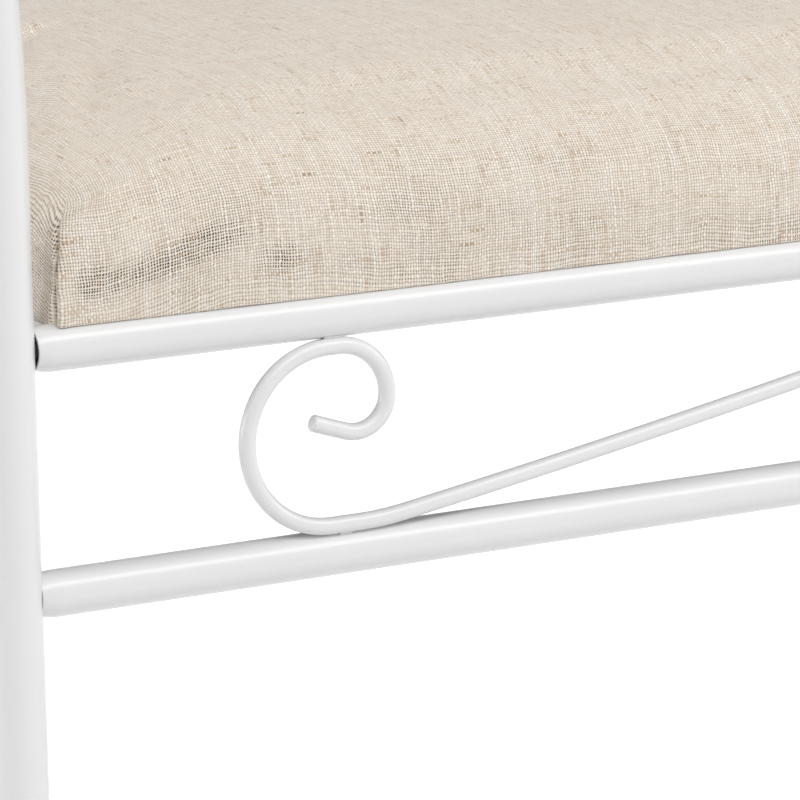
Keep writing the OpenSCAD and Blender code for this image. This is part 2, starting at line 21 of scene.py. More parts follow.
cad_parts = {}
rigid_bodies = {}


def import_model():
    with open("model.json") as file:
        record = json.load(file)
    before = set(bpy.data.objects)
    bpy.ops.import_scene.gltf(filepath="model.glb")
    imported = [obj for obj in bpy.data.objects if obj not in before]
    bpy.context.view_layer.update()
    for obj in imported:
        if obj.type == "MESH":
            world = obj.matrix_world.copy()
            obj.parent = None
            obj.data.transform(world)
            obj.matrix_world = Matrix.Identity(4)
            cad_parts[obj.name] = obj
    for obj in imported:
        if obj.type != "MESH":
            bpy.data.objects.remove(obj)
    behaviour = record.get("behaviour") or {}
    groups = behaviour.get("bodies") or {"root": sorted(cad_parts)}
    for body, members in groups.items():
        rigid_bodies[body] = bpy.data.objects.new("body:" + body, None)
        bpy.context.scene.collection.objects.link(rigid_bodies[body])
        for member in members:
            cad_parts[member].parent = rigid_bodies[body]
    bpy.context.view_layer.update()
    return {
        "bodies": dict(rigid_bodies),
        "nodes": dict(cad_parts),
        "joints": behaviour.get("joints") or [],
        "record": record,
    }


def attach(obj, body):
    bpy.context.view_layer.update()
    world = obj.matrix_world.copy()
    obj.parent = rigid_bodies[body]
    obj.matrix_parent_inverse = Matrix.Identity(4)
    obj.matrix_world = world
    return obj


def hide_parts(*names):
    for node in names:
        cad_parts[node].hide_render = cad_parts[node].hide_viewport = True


logging.basicConfig(level=logging.INFO, format="%(name)s: %(message)s")
LOG = logging.getLogger("bench")

MM = 0.001
ROOT = "root"
THREAD_MAP = "thread"
OPEN_WEAVE = "open_weave"
SAME_ANGLE = 1e-6
LEAST_DEPTH = 1e-4
SIDES = (-1, 1)
EAST, NORTH, UP = Vector((1, 0, 0)), Vector((0, 1, 0)), Vector((0, 0, 1))

Colour = tuple[float, float, float]
Point = tuple[float, float, float]
Face = tuple[int, ...]
Span = tuple[float, float]
Path = Callable[[float], tuple[Vector, Vector, Vector]]
Socket = bpy.types.NodeSocket
Material = bpy.types.Material
Piece = bpy.types.Object


class Side(Enum):
    """Which way a face of the cover looks, and so how its cloth is laid."""

    LONG = "long"
    END = "end"


# Node building


class NodeBench:
    """A material under construction, with short ways to add nodes and do sums on sockets."""

    MIX_FACTOR, MIX_FIRST, MIX_SECOND, MIX_COLOUR = 0, 6, 7, 2

    def __init__(self, name: str) -> None:
        """Starts an empty node tree.

        Args:
            name: the material's name.
        """
        self.material = bpy.data.materials.new(name)
        self.material.use_nodes = True
        self.tree = self.material.node_tree
        self.tree.nodes.clear()
        self.output = self.tree.nodes.new("ShaderNodeOutputMaterial")

    def add(self, kind: str, **settings: object) -> bpy.types.Node:
        """Adds a node and sets its own properties.

        Args:
            kind: the node's type name, after "ShaderNode".
            settings: properties of the node.

        Returns:
            The new node.
        """
        node = self.tree.nodes.new("ShaderNode" + kind)
        for key, value in settings.items():
            setattr(node, key, value)
        return node

    def feed(self, socket: Socket, value: object) -> None:
        """Links a socket, or sets its value where a plain number or colour is given.

        Args:
            socket: the input to feed.
            value: an output socket, or a value.
        """
        if isinstance(value, Socket):
            self.tree.links.new(value, socket)
        else:
            socket.default_value = value

    def sums(self, operation: str, first: object, second: object = 0.0, third: object = 0.0,
             clamp: bool = False) -> Socket:
        """Does one sum.

        Args:
            operation: the Math node's operation.
            first: the first value or socket.
            second: the second value or socket.
            third: the third value or socket.
            clamp: whether the result is kept from 0 to 1.

        Returns:
            The result's socket.
        """
        node = self.add("Math", operation=operation, use_clamp=clamp)
        for socket, value in zip(node.inputs, (first, second, third)):
            self.feed(socket, value)
        return node.outputs[0]

    def rest(self, value: object) -> Socket:
        """Gives what a value leaves of 1."""
        return self.sums("SUBTRACT", 1.0, value)

    def spread(self, value: object, reach: float) -> Socket:
        """Turns a value from 0 to 1 into one from minus the reach to the reach."""
        return self.sums("MULTIPLY_ADD", value, 2 * reach, -reach)

    def off_middle(self, value: object) -> Socket:
        """Gives how far a value is from halfway between two whole numbers, from 0 to 1."""
        return self.sums("ABSOLUTE", self.spread(self.sums("FRACT", value), 1.0))

    def step(self, value: object, low: float, high: float) -> Socket:
        """Eases from 0 to 1 as a value goes from low to high.

        Args:
            value: the value's socket.
            low: where the result is 0.
            high: where the result is 1.

        Returns:
            The eased result's socket.
        """
        node = self.add("MapRange", interpolation_type="SMOOTHSTEP")
        for key, item in (("Value", value), ("From Min", low), ("From Max", high)):
            self.feed(node.inputs[key], item)
        return node.outputs["Result"]

    def blend(self, factor: object, first: object, second: object,
              mode: str = "MIX") -> Socket:
        """Mixes two colours.

        Args:
            factor: how much of the second colour shows.
            first: a colour or its socket.
            second: a colour or its socket.
            mode: the blending mode.

        Returns:
            The mixed colour's socket.
        """
        node = self.add("Mix", data_type="RGBA", blend_type=mode, clamp_factor=True)
        self.feed(node.inputs[self.MIX_FACTOR], factor)
        for index, value in ((self.MIX_FIRST, first), (self.MIX_SECOND, second)):
            self.feed(node.inputs[index], (*value, 1.0) if isinstance(value, tuple) else value)
        return node.outputs[self.MIX_COLOUR]

    def pair(self, x: object, y: object, z: object = 0.0) -> Socket:
        """Joins two or three values into a vector.

        Args:
            x: the first value or socket.
            y: the second value or socket.
            z: the third value or socket.

        Returns:
            The vector's socket.
        """
        node = self.add("CombineXYZ")
        for socket, value in zip(node.inputs, (x, y, z)):
            self.feed(socket, value)
        return node.outputs[0]

    def parts(self, vector: object) -> bpy.types.NodeOutputs:
        """Splits a vector.

        Args:
            vector: the vector's socket.

        Returns:
            The sockets X, Y and Z.
        """
        node = self.add("SeparateXYZ")
        self.feed(node.inputs[0], vector)
        return node.outputs

    def place(self) -> Socket:
        """Gives the place on the piece, in metres."""
        return self.add("TexCoord").outputs["Object"]

    def cloud(self, vector: object, scale: float, detail: float = 2.0, output: str = "Fac",
              flat: bool = False) -> Socket:
        """Adds a noise texture.

        Args:
            vector: the coordinates' socket.
            scale: the texture's scale.
            detail: how many finer layers it has.
            output: which of its outputs is wanted.
            flat: whether it is two-dimensional.

        Returns:
            The output's socket.
        """
        node = self.add("TexNoise", noise_dimensions="2D" if flat else "3D")
        self.feed(node.inputs["Vector"], vector)
        node.inputs["Scale"].default_value = scale
        node.inputs["Detail"].default_value = detail
        return node.outputs[output]

    def cells(self, vector: object, size: float, randomness: float = 1.0) -> Socket:
        """Adds a texture of cells.

        Args:
            vector: the coordinates' socket.
            size: a cell's size, in metres.
            randomness: how irregular they are, from 0 to 1.

        Returns:
            The socket of the distance from the nearest cell's middle, in cells.
        """
        node = self.add("TexVoronoi", feature="F1")
        self.feed(node.inputs["Vector"], vector)
        node.inputs["Scale"].default_value = 1.0 / size
        node.inputs["Randomness"].default_value = randomness
        return node.outputs["Distance"]

    def draw(self, place: object, flat: bool = False) -> Socket:
        """Draws a value from 0 to 1, which is always the same at the same place.

        Args:
            place: a number's socket, or a vector's socket where it is flat.
            flat: whether the place is two-dimensional.

        Returns:
            The draw's socket.
        """
        node = self.add("TexWhiteNoise", noise_dimensions="2D" if flat else "1D")
        self.feed(node.inputs["Vector" if flat else "W"], place)
        return node.outputs["Value"]

    def relief(self, height: object, depth: float, strength: float) -> Socket:
        """Turns a height into a bumped normal.

        Args:
            height: the height's socket.
            depth: what a height of 1 stands for, in metres.
            strength: how strongly it shows.

        Returns:
            The normal's socket.
        """
        node = self.add("Bump")
        node.inputs["Distance"].default_value = depth
        node.inputs["Strength"].default_value = strength
        self.feed(node.inputs["Height"], height)
        return node.outputs["Normal"]

    def surface(self, plain: dict[str, float],
                fed: dict[str, Socket]) -> Material:
        """Closes the material with a Principled shader.

        Args:
            plain: input names and the values that are the same all over.
            fed: input names and the sockets that feed them.

        Returns:
            The finished material.
        """
        shader = self.add("BsdfPrincipled")
        for key, value in plain.items():
            shader.inputs[key].default_value = value
        for key, socket in fed.items():
            self.tree.links.new(socket, shader.inputs[key])
        self.tree.links.new(shader.outputs[0], self.output.inputs["Surface"])
        return self.material


def shaded(colour: Colour, share: float) -> Colour:
    """Scales a colour, to a darker one below 1 and to a paler one above."""
    return tuple(c * share for c in colour)


# Finishes


@dataclass(frozen=True)
class PowderCoat:
    """Glossy white powder coat with a faint orange peel."""

    name: str = "white_powder_coat"
    colour: Colour = (0.81, 0.81, 0.81)
    specular: float = 0.5
    roughness: float = 0.34
    roughness_range: float = 0.08
    gloss: float = 0.7
    gloss_roughness: float = 0.16
    gloss_ior: float = 1.5
    peel_scale: float = 420.0
    peel_detail: float = 1.5
    peel_depth: float = 0.00006
    peel_strength: float = 0.5
    patch_scale: float = 14.0
    patch_detail: float = 3.0
    patch_span: Span = (0.35, 0.7)
    patch_shade: float = 0.985

    def material(self) -> Material:
        """Builds the material.

        Returns:
            The finished material.
        """
        bench = NodeBench(self.name)
        place = bench.place()
        peel = bench.cloud(place, self.peel_scale, self.peel_detail)
        patches = bench.cloud(place, self.patch_scale, self.patch_detail)
        tone = bench.blend(bench.step(patches, *self.patch_span), self.colour,
                           shaded(self.colour, self.patch_shade))
        rough = bench.sums("MULTIPLY_ADD", patches, self.roughness_range,
                           self.roughness - self.roughness_range / 2)
        normal = bench.relief(peel, self.peel_depth, self.peel_strength)
        return bench.surface(
            {"Specular IOR Level": self.specular, "Coat Weight": self.gloss,
             "Coat Roughness": self.gloss_roughness, "Coat IOR": self.gloss_ior},
            {"Base Color": tone, "Roughness": rough, "Normal": normal})


@dataclass(frozen=True)
class ZincPlate:
    """Dull bright zinc on turned steel."""

    name: str = "zinc_plated_steel"
    colour: Colour = (0.56, 0.57, 0.60)
    roughness: float = 0.36
    roughness_range: float = 0.22
    spangle_scale: float = 260.0
    spangle_detail: float = 4.0
    spangle_span: Span = (0.35, 0.65)
    spangle_shade: float = 0.8
    mark_scale: float = 1800.0
    mark_detail: float = 1.0
    mark_depth: float = 0.00004
    mark_strength: float = 0.4

    def material(self) -> Material:
        """Builds the material.

        Returns:
            The finished material.
        """
        bench = NodeBench(self.name)
        place = bench.place()
        spangle = bench.cloud(place, self.spangle_scale, self.spangle_detail)
        marks = bench.cloud(place, self.mark_scale, self.mark_detail)
        tone = bench.blend(bench.step(spangle, *self.spangle_span), self.colour,
                           shaded(self.colour, self.spangle_shade))
        rough = bench.sums("MULTIPLY_ADD", spangle, self.roughness_range,
                           self.roughness - self.roughness_range / 2)
        normal = bench.relief(marks, self.mark_depth, self.mark_strength)
        return bench.surface({"Metallic": 1.0},
                             {"Base Color": tone, "Roughness": rough, "Normal": normal})


@dataclass(frozen=True)
class MouldedPlastic:
    """Matt white moulded plastic with a fine grain and faint scuffs."""

    name: str = "moulded_white_plastic"
    colour: Colour = (0.74, 0.74, 0.72)
    specular: float = 0.45
    roughness: float = 0.48
    grain_scale: float = 1400.0
    grain_depth: float = 0.00005
    grain_strength: float = 0.5
    scuff_scale: float = 90.0
    scuff_detail: float = 4.0
    scuff_span: Span = (0.52, 0.74)
    scuff_shade: float = 0.9
    scuff_roughness: float = 0.14

    def material(self) -> Material:
        """Builds the material.

        Returns:
            The finished material.
        """
        bench = NodeBench(self.name)
        place = bench.place()
        grain = bench.cloud(place, self.grain_scale)
        scuffs = bench.step(bench.cloud(place, self.scuff_scale, self.scuff_detail),
                            *self.scuff_span)
        tone = bench.blend(scuffs, self.colour, shaded(self.colour, self.scuff_shade))
        rough = bench.sums("MULTIPLY_ADD", scuffs, self.scuff_roughness, self.roughness)
        normal = bench.relief(grain, self.grain_depth, self.grain_strength)
        return bench.surface({"Specular IOR Level": self.specular},
                             {"Base Color": tone, "Roughness": rough, "Normal": normal})


@dataclass(frozen=True)
class BirchPly:
    """Raw birch plywood: grain on the faces, veneers on the edges."""

    name: str = "raw_birch_plywood"
    pale: Colour = (0.62, 0.46, 0.28)
    dark: Colour = (0.42, 0.28, 0.15)
    roughness: float = 0.72
    veneer: float = 0.0015
    veneer_span: Span = (0.48, 0.52)
    veneer_strength: float = 0.3
    grain_stretch: Point = (2.0, 60.0, 60.0)
    grain_scale: float = 1.6
    grain_detail: float = 6.0
    grain_span: Span = (0.4, 0.68)
    grain_depth: float = 0.0002
    grain_strength: float = 0.4

    def material(self) -> Material:
        """Builds the material.

        Returns:
            The finished material.
        """
        bench = NodeBench(self.name)
        place = bench.place()
        stretch = bench.add("Mapping")
        stretch.inputs["Scale"].default_value = self.grain_stretch
        bench.feed(stretch.inputs["Vector"], place)
        grain = bench.cloud(stretch.outputs["Vector"], self.grain_scale, self.grain_detail)
        layer = bench.sums("FRACT", bench.sums("DIVIDE", bench.parts(place)["Z"], 2 * self.veneer))
        tone = bench.blend(bench.step(grain, *self.grain_span), self.pale, self.dark)
        veneers = bench.sums("MULTIPLY", bench.step(layer, *self.veneer_span), self.veneer_strength)
        tone = bench.blend(veneers, tone, self.dark)
        normal = bench.relief(grain, self.grain_depth, self.grain_strength)
        return bench.surface({"Roughness": self.roughness}, {"Base Color": tone, "Normal": normal})


@dataclass(frozen=True)
class OpenCellFoam:
    """Cream open-cell foam, hidden under the cover."""

    name: str = "open_cell_foam"
    colour: Colour = (0.80, 0.73, 0.50)
    # Painted shade: the pits between the cell walls are darker where shade falls in them
    pit_shade: Colour = (0.44, 0.37, 0.21)
    roughness: float = 0.95
    cell: float = 0.0016
    wall_span: Span = (0.12, 0.5)
    wall_depth: float = 0.0004
    wall_strength: float = 0.7

    def material(self) -> Material:
        """Builds the material.

        Returns:
            The finished material.
        """
        bench = NodeBench(self.name)
        walls = bench.step(bench.cells(bench.place(), self.cell), *self.wall_span)
        # Cell walls in the foam's colour, painted shade in the pits
        tone = bench.blend(walls, self.pit_shade, self.colour)
        normal = bench.relief(walls, self.wall_depth, self.wall_strength)
        return bench.surface({"Roughness": self.roughness}, {"Base Color": tone, "Normal": normal})


@dataclass(frozen=True)
class DustCloth:
    """Thin black non-woven cloth with a fibre web and pressed dots."""

    name: str = "black_dust_cloth"
    colour: Colour = (0.018, 0.018, 0.02)
    roughness: float = 0.9
    sheen: float = 0.25
    sheen_roughness: float = 0.5
    dot_pitch: float = 0.0022
    dot_randomness: float = 0.15
    dot_span: Span = (0.18, 0.3)
    fibre_scale: float = 900.0
    fibre_detail: float = 6.0
    fibre_span: Span = (0.45, 0.7)
    fibre_shade: float = 2.6
    fibre_height: float = 0.5
    relief_depth: float = 0.00012
    relief_strength: float = 0.8

    def material(self) -> Material:
        """Builds the material.

        Returns:
            The finished material.
        """
        bench = NodeBench(self.name)
        place = bench.place()
        fibres = bench.cloud(place, self.fibre_scale, self.fibre_detail)
        dots = bench.step(bench.cells(place, self.dot_pitch, self.dot_randomness), *self.dot_span)
        tone = bench.blend(bench.step(fibres, *self.fibre_span), self.colour,
                           shaded(self.colour, self.fibre_shade))
        height = bench.sums("MULTIPLY_ADD", fibres, self.fibre_height, dots)
        normal = bench.relief(height, self.relief_depth, self.relief_strength)
        return bench.surface(
            {"Roughness": self.roughness, "Sheen Weight": self.sheen,
             "Sheen Roughness": self.sheen_roughness},
            {"Base Color": tone, "Normal": normal})


@dataclass(frozen=True)
class ThreadSet:
    """One of the two sets of parallel threads in a plain weave."""

    seed: float
    spacing_seed: float
    pale_from: float
    ground: Colour


class ThreadLook(NamedTuple):
    """The sockets that tell how one set of threads looks at a place."""

    number: Socket
    offset: Socket
    cover: Socket
    height: Socket
    tone: Socket


@dataclass(frozen=True)
class SlubLinen:
    """Plain-woven cream linen with slubs, thick threads and an open weave where it is stretched.

    Lengths are counted in threads, as on the cover's thread map. The width of a thread is its share
    of the room it has. A draw is a random value from 0 to 1.
    """

    name: str = "slub_linen"
    # The weft's ground is a little darker and browner than the warp's: partly the yarn's own tone,
    # partly painted shade for the light falling on the weft's bumps unlike on the warp's
    warp: ThreadSet = ThreadSet(3.1, 4.0, 0.89, (0.955, 0.885, 0.785))
    weft: ThreadSet = ThreadSet(71.7, 11.0, 0.982, (0.885, 0.80, 0.69))
    sand: Colour = (0.83, 0.715, 0.585)
    tan: Colour = (0.60, 0.43, 0.27)
    pale: Colour = (0.99, 0.97, 0.93)
    fleck: Colour = (0.34, 0.235, 0.14)
    # Painted shade: the colours seen in the gaps between threads stand for the shadowed lining
    # behind the cloth, dim where the weave is a little open and near black where it is pulled wide
    dim_hole_shade: Colour = (0.56, 0.45, 0.34)
    dark_hole_shade: Colour = (0.07, 0.048, 0.034)
    roughness: float = 0.88
    specular: float = 0.2
    sheen: float = 0.12
    sheen_roughness: float = 0.55
    relief_depth: float = 0.00022
    relief_strength: float = 0.55
    waves: Sequence[Span] = ((0.021, 1.5), (0.11, 0.5), (0.42, 0.2))
    unevenness: float = 0.34
    unevenness_scale: float = 0.31
    pairing: float = 0.08
    lane_gap: float = 5.37
    width: float = 0.42
    swell_width: float = 0.66
    swell_scale: float = 0.21
    open_width: float = -0.27
    pale_width: float = 0.1
    slub_width: float = 0.15
    edge_blur: float = 0.3
    round_margin: float = 0.25
    arch: float = 0.5
    slub_rate: float = 0.14
    slub_stagger: float = 37.0
    slub_ends: Span = (1.0, 0.4)
    slub_draw: Span = (0.87, 1.0)
    slub_least: float = 0.25
    fleck_draw: Span = (0.998, 0.9999)
    fleck_strength: float = 0.7
    pale_blur: float = 0.03
    pale_strength: float = 0.55
    drift_scale: Span = (0.31, 0.06)
    drift_detail: float = 2.5
    drift_span: Span = (0.42, 0.78)
    mottle_scale: float = 0.035
    mottle_detail: float = 3.0
    mottle_span: Span = (0.35, 0.7)
    mottle_strength: float = 0.14
    open_scale: float = 0.05
    open_detail: float = 3.0
    open_range: Span = (0.45, 1.1)
    # How open the weave must be for the painted hole shade to go from dim to dark
    hole_shade_span: Span = (0.06, 0.8)
    # Painted shade on the threads: its least value, its rise with a thread's height, and the random
    # lift at each crossing
    shade_range: Span = (0.522, 0.44)
    shade_fuzz: float = 0.11
    least_cover: float = 0.001

    def thread(self, bench: NodeBench, threads: ThreadSet, across: object, along: object,
               openness: object, fuzz: object) -> ThreadLook:
        """Works out one set of parallel threads.

        Args:
            bench: the material under construction.
            threads: what sets this set apart from the other.
            across: the coordinate across the threads.
            along: the coordinate along the threads.
            openness: how far the weave is pulled open, from 0 to 1.
            fuzz: what sets one crossing apart from the next, from 0 to 1.

        Returns:
            The thread's number, the distance from its middle, its cover from 0 to 1, its rounded
            height and its colour.
        """
        number = bench.sums("FLOOR", across)
        offset = bench.off_middle(across)
        draw = bench.draw(bench.sums("ADD", number, threads.seed))
        pale = bench.step(draw, threads.pale_from, threads.pale_from + self.pale_blur)
        lane = bench.sums("MULTIPLY_ADD", number, self.lane_gap, threads.seed)
        run = bench.sums("MULTIPLY_ADD", along, self.slub_rate,
                         bench.sums("MULTIPLY", draw, self.slub_stagger))
        slub = bench.draw(bench.pair(lane, bench.sums("FLOOR", run)), flat=True)
        ends = bench.step(bench.off_middle(run), *self.slub_ends)
        mark = bench.sums("MULTIPLY", bench.step(slub, *self.slub_draw), ends)
        dark = bench.sums("MULTIPLY", bench.step(slub, *self.fleck_draw), ends)
        swell = bench.cloud(bench.pair(lane, bench.sums("MULTIPLY", along, self.swell_scale)),
                            1.0, flat=True)
        width = bench.sums("MULTIPLY_ADD", swell, self.swell_width, self.width)
        for amount, change in ((openness, self.open_width), (pale, self.pale_width),
                               (mark, self.slub_width)):
            width = bench.sums("MULTIPLY_ADD", amount, change, width)
        edge = bench.sums("SUBTRACT", bench.sums("ADD", width, self.edge_blur / 2), offset)
        cover = bench.sums("DIVIDE", edge, self.edge_blur, clamp=True)
        ratio = bench.sums("DIVIDE", offset, bench.sums("ADD", width, self.round_margin),
                           clamp=True)
        height = bench.sums("SQRT", bench.rest(bench.sums("MULTIPLY", ratio, ratio)))
        drift_place = bench.pair(*(bench.sums("MULTIPLY", value, scale)
                                   for value, scale in zip((lane, along), self.drift_scale)))
        drift = bench.cloud(drift_place, 1.0, self.drift_detail, flat=True)
        tone = bench.blend(bench.step(drift, *self.drift_span), threads.ground, self.sand)
        patchy = bench.sums("MULTIPLY", mark, bench.sums(
            "MULTIPLY_ADD", fuzz, 1.0 - self.slub_least, self.slub_least))
        tone = bench.blend(patchy, tone, self.tan)
        tone = bench.blend(bench.sums("MULTIPLY", pale, self.pale_strength), tone, self.pale)
        tone = bench.blend(bench.sums("MULTIPLY", dark, self.fleck_strength), tone, self.fleck)
        return ThreadLook(number, offset, cover, height, tone)

    def uneven(self, bench: NodeBench, across: object, seed: float) -> Socket:
        """Crowds and spreads one set of threads along a coordinate, as a loom leaves them."""
        crowd = bench.cloud(bench.pair(across, seed), self.unevenness_scale, 1.0, flat=True)
        return bench.sums("ADD", across, bench.spread(crowd, self.unevenness))

    def lay(self, bench: NodeBench, cloth: object) -> tuple[Socket, ...]:
        """Lays both sets of threads on the cloth, unevenly and in slow waves.

        Args:
            bench: the material under construction.
            cloth: the place on the flat cloth.

        Returns:
            The coordinates across the warp and across the weft.
        """
        parts = bench.parts(cloth)
        across = self.uneven(bench, parts["X"], self.warp.spacing_seed)
        along = self.uneven(bench, parts["Y"], self.weft.spacing_seed)
        pairs = bench.sums("SINE", bench.sums("MULTIPLY", along, math.pi))
        along = bench.sums("MULTIPLY_ADD", pairs, self.pairing, along)
        for scale, reach in self.waves:
            drift = bench.add("SeparateColor")
            bench.feed(drift.inputs[0], bench.cloud(cloth, scale, 1.0, "Color", flat=True))
            across = bench.sums("ADD", across, bench.spread(drift.outputs[0], reach))
            along = bench.sums("ADD", along, bench.spread(drift.outputs[1], reach))
        return across, along

    def cross(self, bench: NodeBench, warp: ThreadLook,
              weft: ThreadLook) -> tuple[Socket, ...]:
        """Weaves the two sets, over one and under one.

        Args:
            bench: the material under construction.
            warp: how the warp looks.
            weft: how the weft looks.

        Returns:
            The gap between the threads, where the painted hole shade shows, the height of what
            shows, which also sets the painted shade on the threads, and the weft's share in it.
        """
        over = bench.sums("FLOORED_MODULO", bench.sums("ADD", warp.number, weft.number), 2.0)
        under = bench.rest(over)
        warp_bare, weft_bare = bench.rest(warp.cover), bench.rest(weft.cover)
        gap = bench.sums("MULTIPLY", warp_bare, weft_bare)
        shows, levels = [], []
        for top, other, on_top, below, bare in ((warp, weft, over, under, weft_bare),
                                                (weft, warp, under, over, warp_bare)):
            shows.append(bench.sums("MULTIPLY", top.cover,
                                    bench.sums("MULTIPLY_ADD", below, bare, on_top)))
            bend = bench.sums("MULTIPLY", on_top, bench.rest(
                bench.sums("MULTIPLY", other.offset, other.offset)))
            levels.append(bench.sums("MULTIPLY", top.height, bench.sums(
                "MULTIPLY_ADD", bend, self.arch, 1.0 - self.arch)))
        height = bench.sums("ADD", *(bench.sums("MULTIPLY", shown, level)
                                     for shown, level in zip(shows, levels)))
        share = bench.sums("DIVIDE", shows[1], bench.sums(
            "ADD", bench.sums("ADD", *shows), self.least_cover))
        return gap, height, share

    def material(self) -> Material:
        """Builds the material.

        Returns:
            The finished material.
        """
        bench = NodeBench(self.name)
        cloth = bench.add("UVMap", uv_map=THREAD_MAP).outputs["UV"]
        across, along = self.lay(bench, cloth)
        stretched = bench.add("Attribute", attribute_name=OPEN_WEAVE).outputs["Fac"]
        patches = bench.cloud(cloth, self.open_scale, self.open_detail, flat=True)
        least, more = self.open_range
        openness = bench.sums("MULTIPLY", stretched,
                              bench.sums("MULTIPLY_ADD", patches, more, least), clamp=True)
        fuzz = bench.draw(bench.pair(bench.sums("FLOOR", across), bench.sums("FLOOR", along)),
                          flat=True)
        warp = self.thread(bench, self.warp, across, along, openness, fuzz)
        weft = self.thread(bench, self.weft, along, across, openness, fuzz)
        gap, height, share = self.cross(bench, warp, weft)
        tone = bench.blend(share, warp.tone, weft.tone)
        mottle = bench.step(bench.cloud(cloth, self.mottle_scale, self.mottle_detail, flat=True),
                            *self.mottle_span)
        tone = bench.blend(bench.sums("MULTIPLY", mottle, self.mottle_strength), tone, self.sand)
        # Painted shade: each thread is darker towards its edges and where it dips under the other
        # set, and lighter where it arches over, with a random lift at each crossing; the colour is
        # multiplied by it
        low, rise = self.shade_range
        shade = bench.sums("MULTIPLY_ADD", height, rise, low)
        shade = bench.sums("MULTIPLY_ADD", fuzz, self.shade_fuzz, shade, clamp=True)
        tone = bench.blend(1.0, tone, bench.pair(shade, shade, shade), "MULTIPLY")
        # Painted shade in the gaps between the threads, darker as the weave opens
        hole_shade = bench.blend(bench.step(openness, *self.hole_shade_span), self.dim_hole_shade, self.dark_hole_shade)
        tone = bench.blend(gap, tone, hole_shade)
        normal = bench.relief(height, self.relief_depth, self.relief_strength)
        return bench.surface(
            {"Roughness": self.roughness, "Specular IOR Level": self.specular,
             "Sheen Weight": self.sheen, "Sheen Roughness": self.sheen_roughness},
            {"Base Color": tone, "Normal": normal})


@dataclass(frozen=True)
class Finishes:
    """Every material of the bench, built once."""

    coat: Material
    zinc: Material
    plastic: Material
    ply: Material
    foam: Material
    dust: Material
    linen: Material

    @classmethod
    def build(cls) -> "Finishes":
        """Builds the materials."""
        return cls(*(finish.material() for finish in (
            PowderCoat(), ZincPlate(), MouldedPlastic(), BirchPly(), OpenCellFoam(), DustCloth(),
            SlubLinen())))

    def by_slot(self) -> dict[str, Material]:
        """Tells which material each of the record's material slots takes."""
        return {"white_coat": self.coat, "zinc_steel": self.zinc, "white_plastic": self.plastic,
                "plywood": self.ply, "foam": self.foam, "linen": self.linen,
                "dust_cloth": self.dust}


# Meshes


def make_piece(name: str, points: Sequence[Point], faces: Sequence[Face],
               finish: Material, smooth: bool = True) -> Piece:
    """Makes one piece of the scene from points in millimetres.

    Args:
        name: the piece's name.
        points: the vertices, in millimetres.
        faces: the faces, as vertex numbers.
        finish: the piece's material.
        smooth: whether the faces are shaded smooth.

    Returns:
        The new object.
    """
    mesh = bpy.data.meshes.new(name)
    mesh.from_pydata([tuple(c * MM for c in p) for p in points], [], [tuple(f) for f in faces])
    mesh.materials.append(finish)
    shell = bmesh.new()
    shell.from_mesh(mesh)
    bmesh.ops.recalc_face_normals(shell, faces=shell.faces)
    shell.to_mesh(mesh)
    shell.free()
    mesh.polygons.foreach_set("use_smooth", [smooth] * len(mesh.polygons))
    mesh.update()
    piece = bpy.data.objects.new(name, mesh)
    bpy.context.scene.collection.objects.link(piece)
    return piece


def round_ring(middle: Vector, out: Vector, up: Vector, radius: float, sides: int) -> list[Point]:
    """Lays points round a circle.

    Args:
        middle: the circle's middle.
        out: one direction in its plane.
        up: the other direction in its plane, square to the first.
        radius: its radius.
        sides: how many points it has.

    Returns:
        The points.
    """
    turns = [math.tau * k / sides for k in range(sides)]
    return [tuple(middle + out * (radius * math.cos(t)) + up * (radius * math.sin(t)))
            for t in turns]


def ease(value: float, low: float, high: float) -> float:
    """Goes smoothly from 0 to 1 as a value goes from low to high."""
    share = min(max((value - low) / (high - low), 0.0), 1.0)
    return share * share * (3.0 - 2.0 * share)


class Hump(NamedTuple):
    """A smooth hump, or a groove where its height is negative."""

    height: float
    middle: float
    width: float

    def at(self, value: float) -> float:
        """Gives the hump's height at a value."""
        return self.height * math.exp(-((value - self.middle) / self.width) ** 2)


@dataclass
class Skin:
    """A mesh under construction: its points in millimetres, and its faces."""

    points: list[Point] = field(default_factory=list)
    faces: list[Face] = field(default_factory=list)

    def join(self, rings: Sequence[Sequence[Point]], closed: bool = False) -> None:
        """Skins rings of equal count one after the other, and closes the ends.

        Args:
            rings: the rings in order.
            closed: whether the last ring joins the first, and there are no ends.
        """
        start, sides, count = len(self.points), len(rings[0]), len(rings)
        for ring in rings:
            self.points.extend(ring)
        for i in range(count if closed else count - 1):
            low, high = start + i * sides, start + (i + 1) % count * sides
            self.faces.extend((low + k, low + (k + 1) % sides, high + (k + 1) % sides, high + k)
                              for k in range(sides))
        if not closed:
            self.faces.append(tuple(start + k for k in reversed(range(sides))))
            end = start + (count - 1) * sides
            self.faces.append(tuple(end + k for k in range(sides)))

    def piece(self, name: str, finish: Material) -> Piece:
        """Makes a smooth piece of the mesh."""
        return make_piece(name, self.points, self.faces, finish)


# Steel frame


